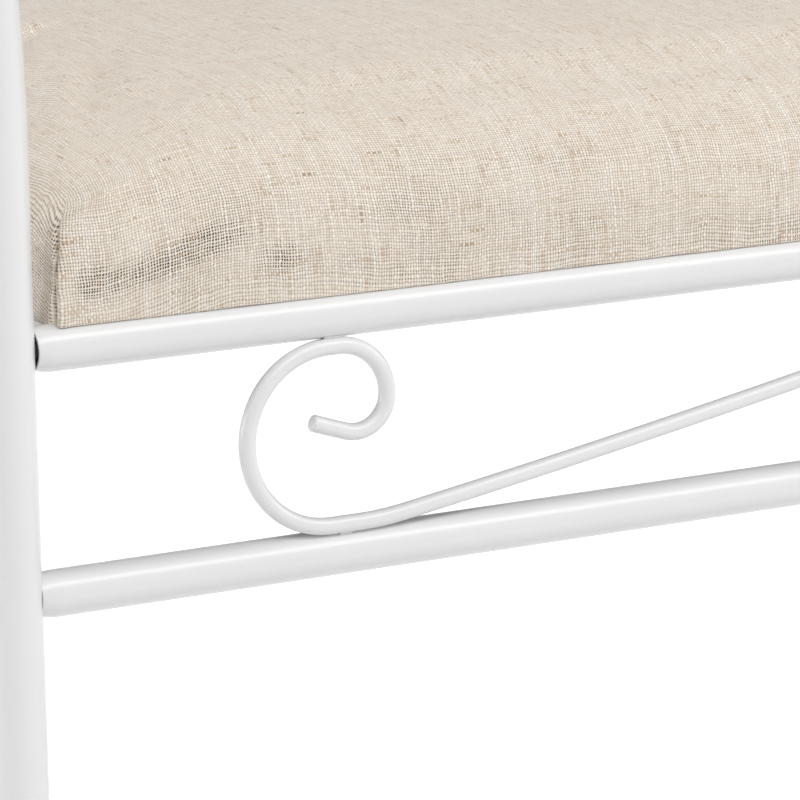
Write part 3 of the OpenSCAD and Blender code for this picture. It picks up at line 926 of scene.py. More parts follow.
@dataclass
class SteelFrame:
    """The welded and bolted frame, whose solids already have their true shape."""

    leg_x: float = 498.2
    leg_r: float = 11.0
    rail_r: float = 8.0
    rail_y: float = 194.0
    seat_rail_height: float = 375.0
    lower_rail_height: float = 292.0
    cross_rail_x: Sequence[float] = (-477.5, -165.0, 165.0, 477.5)
    lean_radius: float = 730.0
    lean_start_height: float = 441.0
    lean_angle: float = 9.8
    roll_radius: float = 40.0
    bead_r: float = 0.9
    bead_sides: int = 8
    bead_steps: int = 72
    bead_tip: float = 0.25
    bead_taper: float = 3.0
    ripple: float = 0.18
    ripple_waves: float = 11.0
    cross_bead_starts: Sequence[float] = (-48.0, 132.0)
    cross_bead_sweep: float = 96.0

    def lean_end(self) -> Span:
        """Finds the X and Z where a right leg's lean ends and its roll starts."""
        turn = math.radians(self.lean_angle)
        return (self.leg_x + self.lean_radius * (1.0 - math.cos(turn)),
                self.lean_start_height + self.lean_radius * math.sin(turn))

    def roll_centre(self) -> Span:
        """Finds the middle of a right leg's roll.

        Returns:
            X and Z.
        """
        turn = math.radians(self.lean_angle)
        x, z = self.lean_end()
        return x + self.roll_radius * math.cos(turn), z - self.roll_radius * math.sin(turn)

    def miss(self, x: float, z: float) -> float:
        """Gives the distance from a point to a right leg's axis, in the end frame's upright plane.

        Args:
            x: the point's distance from the middle of the bench.
            z: the point's height.

        Returns:
            The distance, in millimetres.
        """
        if z < self.lean_start_height:
            return abs(x - self.leg_x)
        end_x, end_z = self.lean_end()
        roll_x, roll_z = self.roll_centre()
        turn = math.radians(self.lean_angle)
        if (z - end_z) * math.cos(turn) + (x - end_x) * math.sin(turn) < 0.0:
            return abs(math.hypot(x - self.leg_x - self.lean_radius, z - self.lean_start_height)
                       - self.lean_radius)
        return abs(math.hypot(x - roll_x, z - roll_z) - self.roll_radius)

    def dress(self, nodes: dict[str, Piece], slots: dict[str, str],
              finishes: Finishes) -> None:
        """Gives each kept solid its material.

        Args:
            nodes: the solids, by name.
            slots: each solid's material slot.
            finishes: the bench's materials.
        """
        by_slot = finishes.by_slot()
        for name, node in nodes.items():
            node.data.materials.clear()
            node.data.materials.append(by_slot[slots[name]])
            LOG.info("dressed %s in %s", name, slots[name])

    def bead(self, skin: Skin, path: Path, first: float, last: float, seed: float) -> None:
        """Lays one rippled weld bead round a tube.

        Args:
            skin: the mesh to which it is added.
            path: gives the point and two square directions at an angle in radians.
            first: the angle at which the bead starts.
            last: the angle at which it ends.
            seed: what sets this bead's ripple apart.
        """
        closed = abs(last - first - math.tau) < SAME_ANGLE
        count = self.bead_steps
        rings: list[list[Point]] = []
        for i in range(count):
            angle = first + (last - first) * i / (count if closed else count - 1)
            middle, out, up = path(angle)
            near_end = self.bead_taper * min(i, count - 1 - i) / count + self.bead_tip
            taper = 1.0 if closed else min(1.0, near_end)
            wave = 1.0 + self.ripple * math.sin(self.ripple_waves * angle + seed)
            rings.append(round_ring(middle, out, up, self.bead_r * taper * wave, self.bead_sides))
        skin.join(rings, closed)

    def saddle(self, centre: Vector, side: int, post_r: float,
               miss: Callable[[float, float], float]) -> Path:
        """Gives the path round a tube along Y where it meets a round post.

        Args:
            centre: where the two axes meet.
            side: the sign of Y on which the post stands from the tube's middle.
            post_r: the post's radius.
            miss: gives the distance of a point's X and Z from the post's axis.

        Returns:
            The path's function of the angle round the tube.
        """
        def path(angle: float) -> tuple[Vector, Vector, Vector]:
            """Finds a place on the saddle.

            Args:
                angle: the angle round the tube, in radians.

            Returns:
                The point, and two directions square to the bead.
            """
            out = Vector((math.cos(angle), 0.0, math.sin(angle)))
            spot = centre + out * self.rail_r
            depth = math.sqrt(max(post_r ** 2 - miss(spot.x, spot.z) ** 2, 0.0))
            spot.y = centre.y - side * depth
            return spot, out, NORTH
        return path

    def rail_welds(self, finish: Material) -> Piece:
        """Builds the beads at the ends of the cross rails, side rails, arms and arm rails.

        Args:
            finish: the coat.

        Returns:
            The piece.
        """
        skin = Skin()
        roll_x, roll_z = self.roll_centre()
        ends = ((self.leg_x, self.seat_rail_height), (self.leg_x, self.lower_rail_height),
                self.lean_end(), (roll_x, roll_z + self.roll_radius))
        for side in SIDES:
            for x in self.cross_rail_x:
                centre = Vector((x, side * self.rail_y, self.seat_rail_height))
                path = self.saddle(centre, side, self.rail_r,
                                   lambda _, z: z - self.seat_rail_height)
                for first in self.cross_bead_starts:
                    self.bead(skin, path, math.radians(first),
                              math.radians(first + self.cross_bead_sweep), x)
            for end in SIDES:
                for x, z in ends:
                    centre = Vector((end * x, side * self.rail_y, z))
                    path = self.saddle(centre, side, self.leg_r,
                                       lambda px, pz: self.miss(abs(px), pz))
                    self.bead(skin, path, 0.0, math.tau, end * x + z)
        return skin.piece("rail_weld_beads", finish)


class Sample(NamedTuple):
    """A place along a wire in its flat drawing, with the heading in radians."""

    x: float
    y: float
    heading: float


@dataclass
class ScrollWire:
    """One bent wire with a curl at each end, alike on both sides of its middle.

    The wire is laid out flat, as a bender sets it: each step is a length and 0 for a straight, or a
    radius and an angle in degrees for a bend, with left bends positive. The flat drawing then goes
    to its place by an origin and two directions.
    """

    name: str
    replaces: tuple[str, ...]
    steps: Sequence[Span]
    start: Span
    heading: float
    origin: Vector
    along: Vector
    upright: Vector
    wire_r: float = 3.0
    sides: int = 24
    bend_pitch: float = 4.0
    chord: float = 7.0
    tip_trim: float = 1.1
    tip_depth: float = 1.1
    tip_angles: Sequence[float] = (76, 54, 30, 12)
    tip_fullness: float = 0.6

    def half(self) -> list[Sample]:
        """Walks from the middle of the wire to its tip.

        Returns:
            The samples in the flat drawing.
        """
        x, y = self.start
        heading = math.radians(self.heading)
        samples = [Sample(x, y, heading)]
        for index, (size, turn) in enumerate(self.steps):
            if index == len(self.steps) - 1:
                turn = math.copysign(abs(turn) - math.degrees(self.tip_trim / size), turn)
            if turn == 0:
                x, y = x + size * math.cos(heading), y + size * math.sin(heading)
                samples.append(Sample(x, y, heading))
                continue
            angle = math.radians(turn)
            count = max(2, math.ceil(abs(turn) / self.bend_pitch),
                        math.ceil(abs(angle) * size / self.chord))
            radius = math.copysign(size, turn)
            middle_x, middle_y = x - radius * math.sin(heading), y + radius * math.cos(heading)
            for i in range(1, count + 1):
                now = heading + angle * i / count
                samples.append(Sample(middle_x + radius * math.sin(now),
                                      middle_y - radius * math.cos(now), now))
            x, y, heading = samples[-1]
        return samples

    def course(self) -> list[Sample]:
        """Lays out the whole wire from tip to tip, the second half mirrored from the first.

        Returns:
            The samples in the flat drawing.
        """
        half = self.half()
        starts_level = abs(math.cos(math.radians(self.heading))) > 0.5
        if starts_level:
            other = [Sample(-x, y, -heading) for x, y, heading in half]
        else:
            other = [Sample(x, -y, math.pi - heading) for x, y, heading in half]
        return list(reversed(other)) + half[1:]

    def build(self, finish: Material) -> Piece:
        """Builds the wire, with rounded tips.

        Args:
            finish: the coat.

        Returns:
            The wire's object.
        """
        square = self.along.cross(self.upright)
        course = self.course()
        rings: list[list[Point]] = []

        def ring(sample: Sample, ahead: float, radius: float) -> None:
            """Adds one ring of the wire's surface.

            Args:
                sample: the place along the wire.
                ahead: how far past that place the ring lies.
                radius: the ring's radius.
            """
            x, y, heading = sample
            forward = self.along * math.cos(heading) + self.upright * math.sin(heading)
            side = self.along * -math.sin(heading) + self.upright * math.cos(heading)
            middle = self.origin + self.along * x + self.upright * y + forward * ahead
            rings.append(round_ring(middle, side, square, radius, self.sides))

        dome = [(self.tip_depth * math.sin(a), self.wire_r * math.cos(a) ** self.tip_fullness)
                for a in map(math.radians, self.tip_angles)]
        for depth, radius in dome:
            ring(course[0], -depth, radius)
        for sample in course:
            ring(sample, 0.0, self.wire_r)
        for depth, radius in reversed(dome):
            ring(course[-1], depth, radius)
        skin = Skin()
        skin.join(rings)
        return skin.piece(self.name, finish)


@dataclass
class ScrollWork:
    """All the scroll wires, and the small welds that hold them."""

    steel: SteelFrame
    wire_r: float = 3.0
    wire_lead: float = 3.7
    scroll_inset: float = 106.7
    side_scroll_inset: float = 48.0
    top_flat: float = 3.7
    foot_flat: float = 11.0
    curl: Sequence[Span] = ((18.4, -90.0), (12.2, -108.0), (400.0, -2.0054))
    long_radii: tuple[float, float, float] = (110.0, 271.0, 3.5)
    short_radii: tuple[float, float, float] = (18.0, 34.0, 3.0)
    climb_limits: Span = (1.0, 60.0)
    halvings: int = 50
    arm_lean: float = 25.0
    arm_steps_to_top: int = 2
    half_rail_length: float = 487.5
    tack_r: float = 0.28
    tack_tip_r: float = 0.05
    tack_fullness: float = 1.12
    tack_squareness: int = 6
    tack_ripple: float = 0.07
    tack_waves: float = 2.6
    tack_rings: int = 13
    tack_sides: int = 10
    top_tack: float = 8.0
    foot_tack: float = 5.0
    pair_tack: float = 14.0

    def scroll_radius(self) -> float:
        """Gives the radius of a scroll between the top rail and the lower rail."""
        seat = math.sqrt((self.steel.rail_r + self.wire_r) ** 2 - self.wire_lead ** 2)
        return (self.steel.seat_rail_height - self.steel.lower_rail_height) / 2 - seat

    def panel_height(self) -> float:
        """Gives the height of the middle between the top rail and the lower rail."""
        return (self.steel.seat_rail_height + self.steel.lower_rail_height) / 2

    def panel_steps(self, half_width: float, inset: float,
                    radii: tuple[float, float, float]) -> list[Span]:
        """Works out the bends of a wire that rises from its scrolls to a crest.

        Args:
            half_width: half the panel's width.
            inset: the distance from the panel's end to the middle of a scroll.
            radii: the radius at the foot of the rise, the one at the crest, and the bow in degrees.

        Returns:
            The steps from the crest to the tip.
        """
        foot, crest, bow_degrees = radii
        radius = self.scroll_radius()
        run = half_width - inset - self.foot_flat
        bow = math.radians(bow_degrees)

        def chord(angle: float) -> float:
            """Gives the level length of the rise between its foot and its crest."""
            return run - foot * math.sin(angle - bow / 2) - crest * math.sin(angle + bow / 2)

        low, high = (math.radians(limit) for limit in self.climb_limits)
        for _ in range(self.halvings):
            angle = (low + high) / 2
            error = (chord(angle) * math.tan(angle) + foot * (1 - math.cos(angle - bow / 2))
                     + crest * (1 - math.cos(angle + bow / 2)) - 2 * radius)
            low, high = (low, angle) if error > 0 else (angle, high)
        climb = math.degrees(angle)
        bow_radius = chord(angle) / math.cos(angle) / 2 / math.sin(bow / 2)
        return [(crest, climb + bow_degrees / 2), (bow_radius, -bow_degrees),
                (foot, bow_degrees / 2 - climb), (self.foot_flat, 0.0), (radius, -180.0),
                (self.top_flat, 0.0), *self.curl]

    def wires(self) -> list[ScrollWire]:
        """Lists every wire in its place.

        Returns:
            The wires.
        """
        steel = self.steel
        middle, start = self.panel_height(), (0.0, self.scroll_radius())
        long_steps = self.panel_steps(self.half_rail_length, self.scroll_inset, self.long_radii)
        short_steps = self.panel_steps(steel.rail_y - steel.leg_r, self.side_scroll_inset,
                                       self.short_radii)
        found = []
        for word, sign in zip(("front", "back"), SIDES):
            origin = Vector((0, sign * (steel.rail_y + self.wire_lead), middle))
            found.append(ScrollWire(
                word + "_apron_scroll", (f"{word}_left_scroll_wire", f"{word}_right_scroll_wire"),
                long_steps, start, 180.0, origin, EAST, UP))
        for word, sign in zip(("left", "right"), SIDES):
            origin = Vector((sign * (steel.leg_x + self.wire_lead), 0, middle))
            found.append(ScrollWire(word + "_apron_scroll", (word + "_scroll_wire",), short_steps,
                                    start, 180.0, origin, NORTH, UP))
            found.extend(self.arm_pair(word, sign))
        return found

    def arm_pair(self, word: str, sign: int) -> list[ScrollWire]:
        """Lists the pair of wires in one arm.

        Args:
            word: which arm it is.
            sign: the sign of its X.

        Returns:
            The front wire and the back wire.
        """
        steel = self.steel
        end_x, end_z = steel.lean_end()
        panel = Vector((sign * (end_x - steel.leg_x), 0, end_z - steel.seat_rail_height))
        height = panel.length - 2 * steel.rail_r - 2 * self.wire_r
        panel.normalize()
        radius, lean = self.scroll_radius(), math.radians(self.arm_lean)
        spine = (height / 2 - radius * (1 - math.sin(lean))) / math.sin(lean)
        steps = [(spine, -self.arm_lean), (radius, self.arm_lean - 90.0), (self.top_flat, 0.0),
                 *self.curl]
        pair = []
        for end_word, end in zip(("front", "back"), SIDES):
            origin = (Vector((sign * steel.leg_x, end * self.wire_r, steel.seat_rail_height))
                      + panel * (steel.rail_r + self.wire_r + height / 2))
            pair.append(ScrollWire(
                f"{word}_arm_scroll_wire_{end_word}", (f"{word}_arm_scroll_{end_word}",), steps,
                (0.0, 0.0), 90.0, origin, NORTH * end, panel))
        return pair

    def tack(self, skin: Skin, wire: Vector, rail: Vector, along: Vector, length: float,
             rail_r: float | None = None) -> None:
        """Lays a short weld on both sides of where a wire touches a rail or another wire.

        Args:
            skin: the mesh to which it is added.
            wire: a point on the wire's axis.
            rail: the nearest point on the other's axis.
            along: the direction in which both run.
            length: the weld's length.
            rail_r: the other's radius, which is a rail's if it isn't given.
        """
        other_r = self.steel.rail_r if rail_r is None else rail_r
        gap = rail - wire
        apart = gap.length
        gap.normalize()
        square = gap.cross(along)
        a, b = self.wire_r + self.tack_r, other_r + self.tack_r
        reach = (a * a - b * b + apart * apart) / (2 * apart)
        rise = math.sqrt(max(a * a - reach * reach, 0.0))
        for side in SIDES:
            centre = wire + gap * reach + square * (side * rise)
            rings = []
            for i in range(self.tack_rings):
                t = 2 * i / (self.tack_rings - 1) - 1.0
                radius = (self.tack_r * self.tack_fullness
                          * (1.0 - t ** self.tack_squareness) ** 0.5 + self.tack_tip_r)
                radius *= 1.0 + self.tack_ripple * math.sin(
                    self.tack_waves * i + wire.x + wire.y + side)
                rings.append(round_ring(centre + along * (t * length / 2), gap, square, radius,
                                        self.tack_sides))
            skin.join(rings)

    def tack_panel(self, skin: Skin, half_width: float,
                   lay: Callable[[float, float, float], Vector], along: Vector) -> None:
        """Welds one panel's wire: its crest, and the top and the foot of each scroll.

        Args:
            skin: the mesh to which the welds are added.
            half_width: the distance from the panel's middle to the middle of a scroll.
            lay: gives the point at a distance along the panel, out from the rails and up.
            along: the direction in which the panel runs.
        """
        top = self.panel_height() + self.scroll_radius()
        foot = self.panel_height() - self.scroll_radius()
        high = (top, self.steel.seat_rail_height, self.top_tack)
        low = (foot, self.steel.lower_rail_height, self.foot_tack)
        spots = [(0.0, high)]
        for side in SIDES:
            spots.append((side * (half_width - self.top_flat / 2), high))
            spots.append((side * (half_width - self.foot_flat / 2), low))
        for place, (wire_height, rail_height, length) in spots:
            self.tack(skin, lay(place, self.wire_lead, wire_height), lay(place, 0.0, rail_height),
                      along, length)

    def welds(self, finish: Material) -> Piece:
        """Builds the small welds at each place where a wire touches a rail or its pair.

        Args:
            finish: the coat.

        Returns:
            The piece.
        """
        steel = self.steel
        skin = Skin()
        for sign in SIDES:
            self.tack_panel(skin, self.half_rail_length - self.scroll_inset,
                            lambda s, out, z: Vector((s, sign * (steel.rail_y + out), z)), EAST)
            self.tack_panel(skin, steel.rail_y - steel.leg_r - self.side_scroll_inset,
                            lambda s, out, z: Vector((sign * (steel.leg_x + out), s, z)), NORTH)
        for wire in self.arm_pair("left", -1) + self.arm_pair("right", 1):
            if wire.name.endswith("front"):
                self.tack(skin, wire.origin, wire.origin - wire.along * (2 * self.wire_r),
                          wire.upright, self.pair_tack, self.wire_r)
            x, y = self.place_after(wire, self.arm_steps_to_top)
            for side in SIDES:
                spot = (wire.origin + wire.along * (x + self.top_flat / 2)
                        + wire.upright * (side * y))
                rail = spot + wire.upright * (side * (self.wire_r + steel.rail_r))
                self.tack(skin, spot, rail, wire.along, self.top_tack)
        return skin.piece("scroll_weld_beads", finish)

    def place_after(self, wire: ScrollWire, count: int) -> Span:
        """Finds where a wire is after its first few steps.

        Args:
            wire: the wire.
            count: how many steps it has taken from its middle.

        Returns:
            X and Y in the flat drawing.
        """
        end = replace(wire, steps=wire.steps[:count], tip_trim=0.0).half()[-1]
        return end.x, end.y


# Seat cushion


class Row(NamedTuple):
    """A level row of the cover: inset from its edge, height and length of cloth from the hem."""

    inset: float
    height: float
    length: float


class Column(NamedTuple):
    """A point of a row, and its outward direction in the level plane."""

    x: float
    y: float
    out_x: float
    out_y: float


class Sector(NamedTuple):
    """Which cloth a column of faces belongs to, and its place in its corner or -1."""

    side: Side
    sign: int
    step: int
    corner: int


@dataclass
class ClothSkin(Skin):
    """A mesh of cloth: each face corner's place on the flat cloth, and each point's openness."""

    places: list[Span] = field(default_factory=list)
    openness: list[float] = field(default_factory=list)

    def piece(self, name: str, finish: Material) -> Piece:
        """Makes a smooth piece of the mesh, with its thread map and its open weave.

        Args:
            name: the piece's name.
            finish: the piece's material.

        Returns:
            The new object.
        """
        cloth = super().piece(name, finish)
        thread = cloth.data.uv_layers.new(name=THREAD_MAP)
        for loop, place in zip(thread.data, self.places):
            loop.uv = place
        weave = cloth.data.attributes.new(OPEN_WEAVE, "FLOAT", "POINT")
        weave.data.foreach_set("value", self.openness)
        return cloth


@dataclass(frozen=True)
class StapledCloth:
    """How the cloth was pulled as it was stapled: its bent rows, and its open weave near a corner.

    Places are those at the front, in millimetres. The back has the same marks turned round, and a
    little squeezed.
    """

    back_turn: float = -0.93
    pull: float = 8.5
    pull_starts: Span = (-466.0, -416.0)
    pull_fades: Span = (-408.0, -330.0)
    pull_lost: float = 0.75
    pull_depth: Span = (24.0, 150.0)
    wave_level: float = 0.5
    waves: Sequence[tuple[float, float, float, float]] = (
        (2.6, 75.0, 0.0, 3.0), (1.1, 24.0, 6.0, 9.0))
    least_open: float = 0.04
    side_open: float = 0.32
    side_fades: Span = (1.0, 22.0)
    end_open: float = 0.28
    mottle: float = 0.24
    mottle_size: Span = (46.0, 13.0)
    band_height: float = 12.0
    band_climb: float = 10.5
    band_climbs: Span = (-462.0, -418.0)
    band_width: float = 3.9
    band_starts: Span = (-477.0, -468.0)
    band_fades: Span = (-418.0, -404.0)
    patch: float = 0.7
    patch_height: Span = (14.0, 5.0)
    patch_x: Span = (-398.0, 9.0)

    def row_rise(self, x: float, y: float, inset: float) -> float:
        """Tells how far a row of threads was pulled up or down, which bends it.

        Args:
            x: the place along the bench.
            y: the place across the bench.
            inset: the distance in from the cushion's edge.

        Returns:
            The pull in millimetres, with up on the front and down on the back positive.
        """
        back = y > 0
        x = self.back_turn * x if back else x
        pull = self.pull * ease(x, *self.pull_starts) * (
            1.0 - self.pull_lost * ease(x, *self.pull_fades))
        for depth, length, front_seed, back_seed in self.waves:
            seed = back_seed if back else front_seed
            pull += depth * noise.noise(Vector((x / length, seed, self.wave_level)))
        return pull * (1.0 - ease(inset, *self.pull_depth))

    def openness(self, row: Row, column: Column) -> float:
        """Tells how far the weave is pulled open at a place on the cover.

        Args:
            row: the row.
            column: the point in the row.

        Returns:
            The openness, from 0 to 1.
        """
        x, y, _, out_y = column
        size, tall = self.mottle_size
        mottle = self.mottle * noise.noise(Vector((x / size, y / size, row.height / tall)))
        face = (self.side_open + mottle + self.end_open * (1.0 - abs(out_y))) * (
            1.0 - ease(row.inset, *self.side_fades))
        x = self.back_turn * x if y > 0 else x
        middle = self.band_height + self.band_climb * ease(x, *self.band_climbs)
        band = Hump(1.0, middle, self.band_width).at(row.height) * ease(x, *self.band_starts) * (
            1.0 - ease(x, *self.band_fades))
        patch_z, patch_tall = self.patch_height
        patch_x, patch_long = self.patch_x
        patch = self.patch * math.exp(-((row.height - patch_z) / patch_tall) ** 2
                                      - ((x - patch_x) / patch_long) ** 2)
        return min(face + (band + patch) * abs(out_y), 1.0) + self.least_open


@dataclass(frozen=True)
class CornerPleat:
    """The folded pleat at each upright corner of the cover, in millimetres."""

    place: float = 0.6
    height: float = 44.0
    fades_from: float = 0.55
    wander: float = 0.7
    wander_size: Span = (9.0, 7.0)
    fold: Hump = Hump(1.3, 1.4, 1.5)
    groove: Hump = Hump(-3.6, -0.7, 0.7)
    groove_mean: float = 0.75
    groove_range: float = 0.7
    groove_size: tuple[float, float, float] = (6.0, 3.0, 2.0)
    under: Hump = Hump(0.8, -3.6, 1.8)
    under_fades: Span = (18.0, 34.0)

    def move(self, along: float, height: float, corner: int) -> float:
        """Gives how far the pleat moves the cover out.

        Args:
            along: the length round the ring from the pleat's edge; positive is towards the long
                side, whose cloth lies on top.
            height: the height above the hem.
            corner: the corner's number.

        Returns:
            The distance, in millimetres.
        """
        fade = 1.0 - ease(height, self.height * self.fades_from, self.height)
        tall, apart = self.wander_size
        place = along + self.wander * noise.noise(Vector((height / tall, corner * apart, 0.0)))
        tall, apart, level = self.groove_size
        ragged = self.groove_mean + self.groove_range * noise.noise(
            Vector((height / tall, corner * apart, level)))
        groove = self.groove.at(place) * ragged
        under = self.under.at(place) * (1.0 - ease(height, *self.under_fades))
        return (self.fold.at(place) + groove + under) * fade


@dataclass(frozen=True)
class SwellTrial:
    """The Cloth run that finds how the cover swells, on a light grid."""

    long_steps: int = 44
    end_steps: int = 18
    corner_steps: int = 3
    row_step: int = 3
    held_rows: int = 2
    quality: int = 5
    mass: float = 0.3
    tension: float = 40.0
    compression: float = 30.0
    bending: float = 4.0
    pressure: float = 4.0
    last_frame: int = 20
    cap: float = 2.5
    share: float = 0.9

    def run(self, trial: Piece, held: int) -> list[Vector]:
        """Lets the light cover swell, and takes it away.

        Args:
            trial: the light cover.
            held: how many of its first points stay where they are.

        Returns:
            Where its points come to rest, in metres.
        """
        group = trial.vertex_groups.new(name="held")
        group.add(list(range(held)), 1.0, "REPLACE")
        cloth = trial.modifiers.new("swell", "CLOTH")
        cloth.settings.quality = self.quality
        cloth.settings.mass = self.mass
        cloth.settings.tension_stiffness = self.tension
        cloth.settings.compression_stiffness = self.compression
        cloth.settings.bending_stiffness = self.bending
        cloth.settings.use_pressure = True
        cloth.settings.uniform_pressure_force = self.pressure
        cloth.settings.vertex_group_mass = group.name
        cloth.settings.effector_weights.gravity = 0.0
        cloth.collision_settings.use_collision = False
        cloth.point_cache.frame_start = 1
        cloth.point_cache.frame_end = self.last_frame
        scene = bpy.context.scene
        for frame_number in range(1, self.last_frame + 1):
            scene.frame_set(frame_number)
        shape = trial.evaluated_get(bpy.context.evaluated_depsgraph_get())
        moved = [v.co.copy() for v in shape.data.vertices]
        scene.frame_set(1)
        bpy.data.objects.remove(trial)
        return moved


@dataclass
class SeatCushion:
    """The linen-covered cushion on its board: crown, sides, corner pleats and hem."""

    half_length: float = 479.1
    half_depth: float = 198.2
    bottom: float = 383.5
    corner_radius: float = 3.8
    corner_growth: float = 1.5
    corner_limit: float = 0.9
    side_draw: float = 1.5
    crown: float = 72.0
    thread_pitch: float = 1.05
    long_steps: int = 132
    end_steps: int = 52
    corner_steps: int = 26
    side_pace: float = 2.6
    top_pace: float = 5.5
    top_from: float = 50.0
    least_pleat_radius: float = 0.1
    turns_up: Span = (4.0, 40.0)
    folds_over: Span = (0.8, 8.0)
    pucker: float = 0.75
    pucker_size: Span = (60.0, 34.0)
    pucker_starts: Span = (2.0, 14.0)
    fine_pucker: float = 0.22
    fine_pucker_scale: float = 3.1
    hem_drop: float = 1.8
    hem_drop_fades: Span = (0.0, 8.0)
    hem_wave: float = 0.4
    hem_wave_size: float = 17.0
    hem_wave_level: float = 4.0
    hem_shift: float = 0.8
    hem_shift_fades: Span = (0.0, 1.3)
    end_flare: float = 1.8
    end_flare_fades: Span = (0.0, 14.0)
    under_flare_fades: Span = (0.0, 6.0)
    end_pull: float = 11.0
    end_pull_width: float = 65.0
    under_rings: Sequence[Span] = (
        (0.25, -1.15), (0.9, -0.3), (2.2, -0.1), (5.0, 0.0), (12.0, 0.05), (21.0, 0.05),
        (30.0, 0.05))
    profile: Sequence[Span] = (
        (0.0, 0.0), (-0.3, 1.3), (-0.6, 7.2), (-0.6, 16.6), (0.6, 25.2), (3.6, 33.8), (8.5, 40.7),
        (16.2, 46.8), (26.0, 52.6), (42.5, 58.3), (60.2, 63.7), (85.0, 68.0), (120.5, 70.9),
        (168.0, 72.0), (198.2, 72.3))
    weld_distance: float = 0.00002
    cloth: StapledCloth = StapledCloth()
    pleat: CornerPleat = CornerPleat()
    trial: SwellTrial = SwellTrial()
    rows: list[Row] = field(default_factory=list)

    def smooth_profile(self, share: float) -> Span:
        """Reads the profile between its noted points, on a curve through them.

        Args:
            share: the place along the noted points, counted in points.

        Returns:
            The distance in from the edge and the height.
        """
        last = len(self.profile) - 1
        index = min(int(share), last - 1)
        t = share - index
        p = [self.profile[min(max(index + k, 0), last)] for k in (-1, 0, 1, 2)]
        return tuple(
            0.5 * (2 * p[1][axis] + (p[2][axis] - p[0][axis]) * t
                   + (2 * p[0][axis] - 5 * p[1][axis] + 4 * p[2][axis] - p[3][axis]) * t * t
                   + (3 * p[1][axis] - p[0][axis] - 3 * p[2][axis] + p[3][axis]) * t ** 3)
            for axis in (0, 1))

    def lay_rows(self) -> None:
        """Samples the profile into rows, closer together on the sides than on the top."""
        self.rows = []
        length = 0.0
        before: Span | None = None
        for index in range(len(self.profile) - 1):
            inset, height = self.profile[index]
            upper = self.profile[index + 1]
            gap = math.hypot(upper[0] - inset, upper[1] - height)
            pace = self.side_pace if height < self.top_from else self.top_pace
            parts = max(1, round(gap / pace))
            for k in range(parts):
                point = self.smooth_profile(index + k / parts)
                length += math.dist(point, before) if before else 0.0
                self.rows.append(Row(*point, length))
                before = point
        end = self.profile[-1]
        self.rows.append(Row(*end, length + math.dist(end, before)))

    def corner_at(self, inset: float) -> float:
        """Gives the radius of the corners of the row at an inset."""
        return min(self.corner_radius + self.corner_growth * max(inset, 0.0),
                   max(self.half_depth - inset, LEAST_DEPTH) * self.corner_limit)

    def ring(self, row: Row) -> list[Column]:
        """Lays out one level ring of the cover.

        Args:
            row: the row.

        Returns:
            The ring's columns, from the back right corner by the back, the left and the front.
        """
        a = self.half_length - row.inset
        b = max(self.half_depth - row.inset, LEAST_DEPTH)
        radius = self.corner_at(row.inset)
        draw = self.side_draw * min(row.height / self.crown, 1.0)
        x, y = a - radius, b - radius
        columns: list[Column] = []

        def corner(cx: float, cy: float, start: float) -> None:
            """Adds one rounded corner.

            Args:
                cx: the X of its middle.
                cy: the Y of its middle.
                start: the angle at which it starts, in degrees.
            """
            for i in range(self.corner_steps):
                turn = math.radians(start + 90.0 * i / self.corner_steps)
                out_x, out_y = math.cos(turn), math.sin(turn)
                columns.append(Column(cx + radius * out_x, cy + radius * out_y, out_x, out_y))

        def straight(first: Span, last: Span, steps: int, out: Span) -> None:
            """Adds one side, drawn in a little between its corners.

            Args:
                first: where it starts.
                last: where it ends.
                steps: how many columns it has.
                out: its outward direction.
            """
            for i in range(steps):
                t = i / steps
                pull = draw * math.sin(math.pi * t)
                columns.append(Column(first[0] + (last[0] - first[0]) * t - out[0] * pull,
                                      first[1] + (last[1] - first[1]) * t - out[1] * pull, *out))

        corner(x, y, 0)
        straight((x, b), (-x, b), self.long_steps, (0, 1))
        corner(-x, y, 90)
        straight((-a, y), (-a, -y), self.end_steps, (-1, 0))
        corner(-x, -y, 180)
        straight((-x, -b), (x, -b), self.long_steps, (0, -1))
        corner(x, -y, 270)
        straight((a, -y), (a, y), self.end_steps, (1, 0))
        return columns

    def cuts(self) -> tuple[int, ...]:
        """Gives for each corner how many of its columns come before its seam."""
        seam = round(self.corner_steps * self.pleat.place)
        return (self.corner_steps - seam, seam) * 2

    def sectors(self) -> list[Sector]:
        """Tells for each column of faces which cloth it belongs to, in the order of a ring.

        Returns:
            The columns' sectors.
        """
        sides = ((Side.END, 1), (Side.LONG, 1), (Side.END, -1), (Side.LONG, -1))
        result: list[Sector] = []
        for corner, cut in enumerate(self.cuts()):
            before, after = sides[corner], sides[(corner + 1) % len(sides)]
            result.extend(Sector(*(before if i < cut else after), i, corner)
                          for i in range(self.corner_steps))
            straight = self.long_steps if after[0] is Side.LONG else self.end_steps
            result.extend([Sector(*after, -1, corner)] * straight)
        return result

    def cloth_place(self, row: Row, column: Column, sector: Sector) -> Span:
        """Works out where a point of the cover lies on the flat cloth.

        Args:
            row: the row.
            column: the point in the row.
            sector: which cloth the face belongs to.

        Returns:
            The place along X and along Y on the cloth, in threads.
        """
        x, y, out_x, out_y = column
        extra = (self.rows[-1].length - row.length) - (self.half_depth - row.inset)
        top_u, top_v = x + out_x * extra, y + out_y * extra
        wrap = 1.0 - ease(row.inset, *self.folds_over)
        a = self.half_length - row.inset
        b = self.half_depth - row.inset
        radius = self.corner_at(row.inset)

        def unrolled(value: float, straight: float, out: float) -> float:
            """Gives a place along a side, measured round the corner where it is past the straight.

            Args:
                value: the place.
                straight: where the straight ends.
                out: how squarely the cover faces along the side there.

            Returns:
                The length from the side's middle, with the place's sign.
            """
            if abs(value) <= straight:
                return value
            return math.copysign(straight + radius * math.asin(min(abs(out), 1.0)), value)

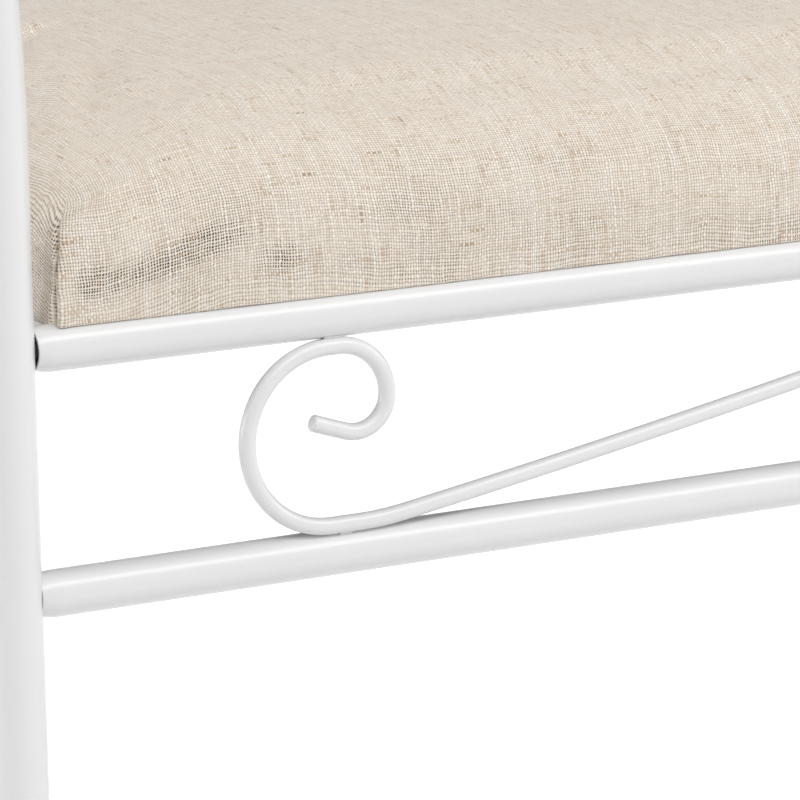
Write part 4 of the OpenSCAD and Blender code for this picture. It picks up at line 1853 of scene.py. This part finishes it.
        bent = self.cloth.row_rise(x, y, row.inset)
        if sector.side is Side.LONG:
            side_u, side_v = unrolled(x, a - radius, out_x), sector.sign * (b + extra)
        else:
            near = max(0.0, 1.0 - (self.half_depth - abs(y)) / self.end_pull_width)
            side_u = sector.sign * (a + extra - self.end_pull * near * near)
            side_v = unrolled(y, b - radius, out_y)
            bent *= 1.0 - wrap
        u = top_u + (side_u - top_u) * wrap
        v = top_v + (side_v - top_v) * wrap - bent
        return u / self.thread_pitch, v / self.thread_pitch

    def puff(self) -> Callable[[float, float], float]:
        """Simulates the cover's swell on a light grid.

        Returns:
            A function of the row's share and the column's share that gives how far the cover
            moves out, in millimetres.
        """
        trial = self.trial
        light = SeatCushion(long_steps=trial.long_steps, end_steps=trial.end_steps,
                            corner_steps=trial.corner_steps)
        light.rows = self.rows[::trial.row_step]
        if (len(self.rows) - 1) % trial.row_step:
            light.rows.append(self.rows[-1])
        rings = [light.ring(row) for row in light.rows[:-1]]
        count = len(rings[0])
        skin = Skin()
        skin.points = [(c.x, c.y, self.bottom + row.height)
                       for row, ring in zip(light.rows, rings) for c in ring]
        skin.faces = [(k * count + i, k * count + (i + 1) % count,
                       (k + 1) * count + (i + 1) % count, (k + 1) * count + i)
                      for k in range(len(rings) - 1) for i in range(count)]
        top = (len(rings) - 1) * count
        skin.faces.append(tuple(top + i for i in range(count)))
        skin.faces.append(tuple(reversed(range(count))))
        moved = trial.run(skin.piece("cover_trial", bpy.data.materials[SlubLinen.name]),
                          trial.held_rows * count)
        swell: list[list[float]] = []
        for k, (row, ring) in enumerate(zip(light.rows, rings)):
            steep = 1.0 - ease(row.inset, *self.turns_up)
            line = []
            for i, column in enumerate(ring):
                index = k * count + i
                shift = (moved[index] - Vector(skin.points[index]) * MM) / MM
                out = Vector((column.out_x * steep, column.out_y * steep, 1.0 - steep))
                line.append(max(-trial.cap, min(trial.cap, shift.dot(out.normalized()))))
            swell.append(line)
        mean = [sum(line) / len(line) for line in swell]

        def read(row_share: float, column_share: float) -> float:
            """Reads the swell between the light grid's points, less each row's mean.

            Args:
                row_share: the place up the rows, from 0 to 1.
                column_share: the place round the ring, from 0 to 1.

            Returns:
                The swell, in millimetres.
            """
            r = min(row_share * (len(swell) - 1), len(swell) - 1.001)
            c = column_share * count
            k, i = int(r), int(c) % count
            fr, fc = r - int(r), c - int(c)
            j = (i + 1) % count
            low = swell[k][i] * (1 - fc) + swell[k][j] * fc - mean[k]
            high = swell[k + 1][i] * (1 - fc) + swell[k + 1][j] * fc - mean[k + 1]
            return low * (1 - fr) + high * fr
        LOG.info("cover swell: rows from %.2f to %.2f mm", min(mean), max(mean))
        return read

    def creases(self, index: int, row: Row, seams: Sequence[int]) -> float:
        """Gives how far the pleats move a point of the cover out.

        Args:
            index: the point's column.
            row: its row.
            seams: the column of each corner's seam.

        Returns:
            The distance, in millimetres.
        """
        radius = max(self.corner_at(row.inset), self.least_pleat_radius)
        arc = radius * math.pi / 2 / self.corner_steps
        total = 0.0
        for corner, seam in enumerate(seams):
            if abs(index - seam) <= self.corner_steps:
                facing = 1 if corner % 2 == 0 else -1
                total += self.pleat.move((index - seam) * arc * facing, row.height, corner)
        return total

    def lifted(self, row: Row, column: Column, swell: float, crease: float) -> Point:
        """Moves a point of the plain form to its place on the cover.

        Args:
            row: the row.
            column: the point in the row.
            swell: how far the swell moves it out.
            crease: how far the pleats move it out.

        Returns:
            The point, in millimetres.
        """
        x, y, out_x, out_y = column
        height = row.height
        size, tall = self.pucker_size
        place = Vector((x / size, y / size, height / tall))
        move = swell + self.pucker * noise.noise(place) * ease(height, *self.pucker_starts)
        move += self.fine_pucker * noise.noise(place * self.fine_pucker_scale)
        move += self.end_flare * out_x * out_x * (1.0 - ease(height, *self.end_flare_fades))
        move += crease
        level = 1.0 - ease(height, *self.hem_drop_fades)
        drop = self.hem_drop * level + self.hem_wave * level * noise.noise(
            Vector((x / self.hem_wave_size, y / self.hem_wave_size, self.hem_wave_level)))
        steep = 1.0 - ease(row.inset, *self.turns_up)
        shift = move * steep + (self.hem_shift * abs(out_y) - self.hem_shift / 2) * (
            1.0 - ease(height, *self.hem_shift_fades))
        return (x + out_x * shift, y + out_y * shift,
                self.bottom + height + move * (1.0 - steep) - drop)

    def build(self, finish: Material) -> Piece:
        """Builds the cover.

        Args:
            finish: the linen.

        Returns:
            The cover's object.
        """
        self.lay_rows()
        swell = self.puff()
        rings = [self.ring(row) for row in self.rows]
        sectors, cuts = self.sectors(), self.cuts()
        seams = [i for i, sector in enumerate(sectors) if sector.step == cuts[sector.corner]]
        count = len(sectors)
        top = len(self.rows) - 1
        skin = ClothSkin()
        for k, (row, ring) in enumerate(zip(self.rows, rings)):
            for i, column in enumerate(ring):
                skin.points.append(self.lifted(
                    row, column, self.trial.share * swell(k / top, i / count),
                    self.creases(i, row, seams)))
                skin.openness.append(self.cloth.openness(row, column))
        for k in range(top):
            for i, sector in enumerate(sectors):
                j = (i + 1) % count
                corners = ((k, i), (k, j), (k + 1, j), (k + 1, i))
                skin.faces.append(tuple(r * count + c for r, c in corners))
                skin.places.extend(self.cloth_place(self.rows[r], rings[r][c], sector)
                                   for r, c in corners)
        self.turn_under(skin, sectors)
        cover = skin.piece("linen_cover", finish)
        mesh = bmesh.new()
        mesh.from_mesh(cover.data)
        bmesh.ops.remove_doubles(mesh, verts=mesh.verts, dist=self.weld_distance)
        bmesh.ops.recalc_face_normals(mesh, faces=mesh.faces)
        mesh.to_mesh(cover.data)
        mesh.free()
        smooth = cover.modifiers.new("smooth", "SUBSURF")
        smooth.levels = smooth.render_levels = 1
        LOG.info("linen_cover: %d faces before smoothing", len(cover.data.polygons))
        return cover

    def turn_under(self, skin: ClothSkin, sectors: Sequence[Sector]) -> None:
        """Adds the cover's return under the board to the mesh.

        Args:
            skin: the cover's mesh, to which it is added.
            sectors: which cloth each column belongs to.
        """
        starts = []
        for inset, rise in self.under_rings:
            starts.append(len(skin.points))
            flare = self.end_flare * (1.0 - ease(inset, *self.under_flare_fades))
            for x, y, out_x, _ in self.ring(Row(inset, 0.0, 0.0)):
                skin.points.append((x + flare * out_x * abs(out_x), y, self.bottom + rise))
                skin.openness.append(self.cloth.least_open)
        before = 0
        for start in starts:
            for i, sector in enumerate(sectors):
                j = (i + 1) % len(sectors)
                face = (before + j, before + i, start + i, start + j)
                skin.faces.append(face)
                skin.places.extend(self.under_place(skin.points[index], sector) for index in face)
            before = start

    def under_place(self, point: Point, sector: Sector) -> Span:
        """Works out where a point of the return lies on the flat cloth.

        Args:
            point: the point.
            sector: which cloth it belongs to.

        Returns:
            The place along X and along Y on the cloth, in threads.
        """
        x, y, _ = point
        far, near = ((self.half_depth, abs(y)) if sector.side is Side.LONG
                     else (self.half_length, abs(x)))
        reach = sector.sign * (far + self.rows[-1].length - self.half_depth + far - near)
        u, v = (x, reach) if sector.side is Side.LONG else (reach, y)
        return u / self.thread_pitch, v / self.thread_pitch


@dataclass
class DustCover:
    """The black cloth stapled under the seat board, and its staples."""

    half_length: float = 463.1
    half_depth: float = 182.2
    top: float = 383.45
    columns: int = 120
    lanes: int = 48
    hem_width: float = 12.0
    hem_step: float = 1.5
    hem_depth: float = 0.22
    slack: float = 0.35
    slack_mean: float = 0.4
    slack_size: Span = (55.0, 40.0)
    slack_level: float = 1.0
    edge_holds: Span = (6.0, 30.0)
    rail_holds: Span = (10.0, 40.0)
    staple_inset: float = 5.5
    staple_pitch: float = 48.0
    staple_end_room: float = 30.0
    staple_width: float = 10.0
    staple_wire: float = 0.7
    staple_rise: float = 0.55
    staple_sides: int = 8
    staple_skew: float = 0.12
    staple_stray: float = 6.0
    skew_size: tuple[float, float, float] = (9.0, 2.0, 50.0)
    staple_course: Sequence[Span] = (
        (-1.0, 0.9), (-1.0, 0.35), (-0.93, 0.08), (-0.8, 0.0), (0.8, 0.0), (0.93, 0.08),
        (1.0, 0.35), (1.0, 0.9))
    clear_x: Sequence[float] = (-165.0, 165.0)
    clear_width: float = 14.0

    def cloth(self, finish: Material) -> Piece:
        """Builds the cloth: a hem turned under along each edge, and a slight sag inside it.

        Args:
            finish: the dust cloth.

        Returns:
            The cloth's object.
        """
        a, b = self.half_length, self.half_depth
        long_size, deep_size = self.slack_size
        points: list[Point] = []
        for i in range(self.columns + 1):
            for k in range(self.lanes + 1):
                x = -a + 2 * a * i / self.columns
                y = -b + 2 * b * k / self.lanes
                edge = min(a - abs(x), b - abs(y))
                rail = min(abs(x - c) for c in self.clear_x)
                place = Vector((x / long_size, y / deep_size, self.slack_level))
                sag = self.slack * (self.slack_mean + noise.noise(place)) * ease(
                    edge, *self.edge_holds) * ease(rail, *self.rail_holds)
                hem = self.hem_depth * (1.0 - ease(edge, self.hem_width - self.hem_step,
                                                   self.hem_width + self.hem_step))
                points.append((x, y, self.top - max(sag, 0.0) - hem))
        lane = self.lanes + 1
        faces = [(i * lane + k, i * lane + k + 1, (i + 1) * lane + k + 1, (i + 1) * lane + k)
                 for i in range(self.columns) for k in range(self.lanes)]
        return make_piece("dust_cloth", points, faces, finish)

    def staple_places(self) -> list[tuple[Vector, Vector]]:
        """Sets out the staples along the four edges, each a little askew.

        Returns:
            For each staple its middle and the direction in which it lies.
        """
        places: list[tuple[Vector, Vector]] = []
        along_size, side_gap, half_size = self.skew_size
        for half, other, along, square in ((self.half_length, self.half_depth, EAST, NORTH),
                                           (self.half_depth, self.half_length, NORTH, EAST)):
            count = int((2 * half - self.staple_end_room) // self.staple_pitch)
            for i in range(count + 1):
                s = -count * self.staple_pitch / 2 + i * self.staple_pitch
                for side in SIDES:
                    skew = self.staple_skew * noise.noise(
                        Vector((s / along_size, side * side_gap, half / half_size)))
                    out = other - self.staple_inset + self.staple_stray * skew
                    spot = along * s + square * (side * out)
                    if min(abs(spot.x - c) for c in self.clear_x) > self.clear_width:
                        places.append((spot, (along + square * skew).normalized()))
        return places

    def staples(self, finish: Material) -> Piece:
        """Builds the staples.

        Args:
            finish: the zinc.

        Returns:
            The staples' object.
        """
        skin = Skin()
        half_width, course = self.staple_width / 2, self.staple_course
        low = self.top - self.staple_rise
        for spot, along in self.staple_places():
            square = UP.cross(along)
            rings = []
            for index, (share, rise) in enumerate(course):
                before = course[max(index - 1, 0)]
                after = course[min(index + 1, len(course) - 1)]
                run = along * ((after[0] - before[0]) * half_width) + UP * (after[1] - before[1])
                run.normalize()
                middle = spot + along * (share * half_width) + UP * (low + rise)
                rings.append(round_ring(middle, run.cross(square), square, self.staple_wire / 2,
                                        self.staple_sides))
            skin.join(rings)
        return skin.piece("dust_cloth_staples", finish)


# Studio


@dataclass(frozen=True)
class SoftBox:
    """One rectangular lamp: where it hangs, what it points at, its size and its power in watts."""

    name: str
    place: Point
    target: Point
    size: Span
    power: float

    def hang(self) -> None:
        """Hangs the lamp in the scene."""
        data = bpy.data.lights.new(self.name, "AREA")
        data.shape = "RECTANGLE"
        data.size, data.size_y = self.size
        data.energy = self.power
        lamp = bpy.data.objects.new(self.name, data)
        bpy.context.scene.collection.objects.link(lamp)
        aim = (Vector(self.target) - Vector(self.place)).to_track_quat("-Z", "Y")
        lamp.matrix_world = Matrix.Translation(self.place) @ aim.to_matrix().to_4x4()


@dataclass
class Studio:
    """Pale floor, plain soft light and the camera."""

    eye: Point = (-1.030, -1.475, 0.674)
    yaw: float = 27.9
    pitch: float = 12.9
    roll: float = -0.75
    focal_pixels: float = 4347.0
    frame_pixels: float = 800.0
    sensor: float = 36.0
    clip: Span = (0.05, 60.0)
    white: Colour = (1.0, 1.0, 1.0)
    world_light: float = 0.58
    seen_light: float = 1.0
    floor_colour: Colour = (0.88, 0.88, 0.88)
    floor_glow: float = 0.57
    floor_reach: float = 20000.0
    lamps: Sequence[SoftBox] = (
        SoftBox("long_soft_box", (0.1, -1.42, 1.98), (0.0, -0.2, 0.38), (3.2, 0.70), 21.5),
        SoftBox("right_soft_box", (2.6, -1.6, 1.3), (0.0, 0.0, 0.35), (1.4, 1.4), 13.0),
        SoftBox("left_fill_box", (-2.6, 0.7, 0.6), (-0.48, -0.1, 0.4), (1.2, 0.8), 13.0))

    def camera(self) -> None:
        """Places the camera at the photograph's viewing angle."""
        yaw, pitch, roll = (math.radians(v) for v in (self.yaw, self.pitch, self.roll))
        ahead = Vector((math.sin(yaw) * math.cos(pitch), math.cos(yaw) * math.cos(pitch),
                        -math.sin(pitch)))
        level = Vector((math.cos(yaw), -math.sin(yaw), 0.0))
        upright = level.cross(ahead)
        right = level * math.cos(roll) + upright * math.sin(roll)
        up = upright * math.cos(roll) - level * math.sin(roll)
        data = bpy.data.cameras.new("camera")
        data.sensor_width = self.sensor
        data.sensor_fit = "HORIZONTAL"
        data.lens = self.focal_pixels / self.frame_pixels * self.sensor
        data.clip_start, data.clip_end = self.clip
        camera = bpy.data.objects.new("camera", data)
        bpy.context.scene.collection.objects.link(camera)
        turn = Matrix((right, up, -ahead)).transposed().to_4x4()
        camera.matrix_world = Matrix.Translation(self.eye) @ turn
        bpy.context.scene.camera = camera

    def seen_white(self, tree: bpy.types.NodeTree) -> Socket:
        """Adds the switch that is 1 for a ray from the camera, a glossy surface or a clear one.

        Args:
            tree: the node tree.

        Returns:
            The switch's socket.
        """
        path = tree.nodes.new("ShaderNodeLightPath")
        switch = path.outputs["Is Camera Ray"]
        for ray in ("Is Transmission Ray", "Is Glossy Ray"):
            either = tree.nodes.new("ShaderNodeMath")
            either.operation = "MAXIMUM"
            tree.links.new(switch, either.inputs[0])
            tree.links.new(path.outputs[ray], either.inputs[1])
            switch = either.outputs[0]
        return switch

    def world(self) -> None:
        """Makes the plain surround, which lights the bench softly and is seen as white."""
        world = bpy.data.worlds.new("surround")
        world.use_nodes = True
        tree = world.node_tree
        tree.nodes.clear()
        mix = tree.nodes.new("ShaderNodeMixShader")
        tree.links.new(self.seen_white(tree), mix.inputs[0])
        for socket, strength in zip(mix.inputs[1:], (self.world_light, self.seen_light)):
            light = tree.nodes.new("ShaderNodeBackground")
            light.inputs["Color"].default_value = (*self.white, 1.0)
            light.inputs["Strength"].default_value = strength
            tree.links.new(light.outputs[0], socket)
        out = tree.nodes.new("ShaderNodeOutputWorld")
        tree.links.new(mix.outputs[0], out.inputs[0])
        bpy.context.scene.world = world

    def floor(self) -> None:
        """Lays the pale floor, which glows a little where it is seen, and keeps its shadows."""
        bench = NodeBench("studio_floor")
        matt, glow, both = (bench.add(kind) for kind in ("BsdfDiffuse", "Emission", "AddShader"))
        matt.inputs["Color"].default_value = (*self.floor_colour, 1.0)
        bench.feed(glow.inputs["Strength"],
                   bench.sums("MULTIPLY", self.seen_white(bench.tree), self.floor_glow))
        bench.feed(both.inputs[0], matt.outputs[0])
        bench.feed(both.inputs[1], glow.outputs[0])
        bench.feed(bench.output.inputs["Surface"], both.outputs[0])
        reach = self.floor_reach
        floor = make_piece(
            "studio_floor_sheet",
            [(-reach, -reach, 0), (reach, -reach, 0), (reach, reach, 0), (-reach, reach, 0)],
            [(0, 1, 2, 3)], bench.material, smooth=False)

    def build(self) -> None:
        """Sets up the camera, the surround, the floor and the lamps."""
        self.camera()
        self.world()
        self.floor()
        for lamp in self.lamps:
            lamp.hang()
        bpy.context.scene.view_settings.view_transform = "Standard"


# Whole bench


@dataclass
class Bench:
    """The bench put together: frame, scroll work, cushion and dust cover."""

    frame: dict[str, object]
    finishes: Finishes
    steel: SteelFrame = field(default_factory=SteelFrame)
    cushion: SeatCushion = field(default_factory=SeatCushion)
    dust_cover: DustCover = field(default_factory=DustCover)

    def seat(self, piece: Piece, slot: str, *stands_for: str) -> Piece:
        """Seats a piece on the bench.

        Args:
            piece: the piece.
            slot: the record's material slot.
            stands_for: the solids that the piece replaces.

        Returns:
            The piece.
        """
        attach(piece, ROOT)
        if stands_for:
            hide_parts(*stands_for)
        return piece

    def build(self) -> Iterable[Piece]:
        """Builds every piece, and seats each on the bench.

        Returns:
            The pieces.
        """
        slots = {part["node"]: part["material_slot"] for part in self.frame["record"]["subparts"]}
        self.steel.dress(self.frame["nodes"], slots, self.finishes)
        scrolls = ScrollWork(self.steel)
        yield self.seat(self.steel.rail_welds(self.finishes.coat), "white_coat")
        yield self.seat(scrolls.welds(self.finishes.coat), "white_coat")
        for wire in scrolls.wires():
            yield self.seat(wire.build(self.finishes.coat), "white_coat", *wire.replaces)
        cover = self.seat(self.cushion.build(self.finishes.linen), "linen",
                          "seat_cover", "seat_foam")
        yield cover
        staples = self.seat(self.dust_cover.staples(self.finishes.zinc), "zinc_steel")
        yield staples
        cloth = self.seat(self.dust_cover.cloth(self.finishes.dust), "dust_cloth", "dust_cover")
        yield cloth


def main() -> None:
    """Builds the bench and its studio."""
    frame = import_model()
    finishes = Finishes.build()
    Studio().build()
    for piece in Bench(frame, finishes).build():
        LOG.info("built %s", piece.name)


if __name__ == "__main__":
    main()
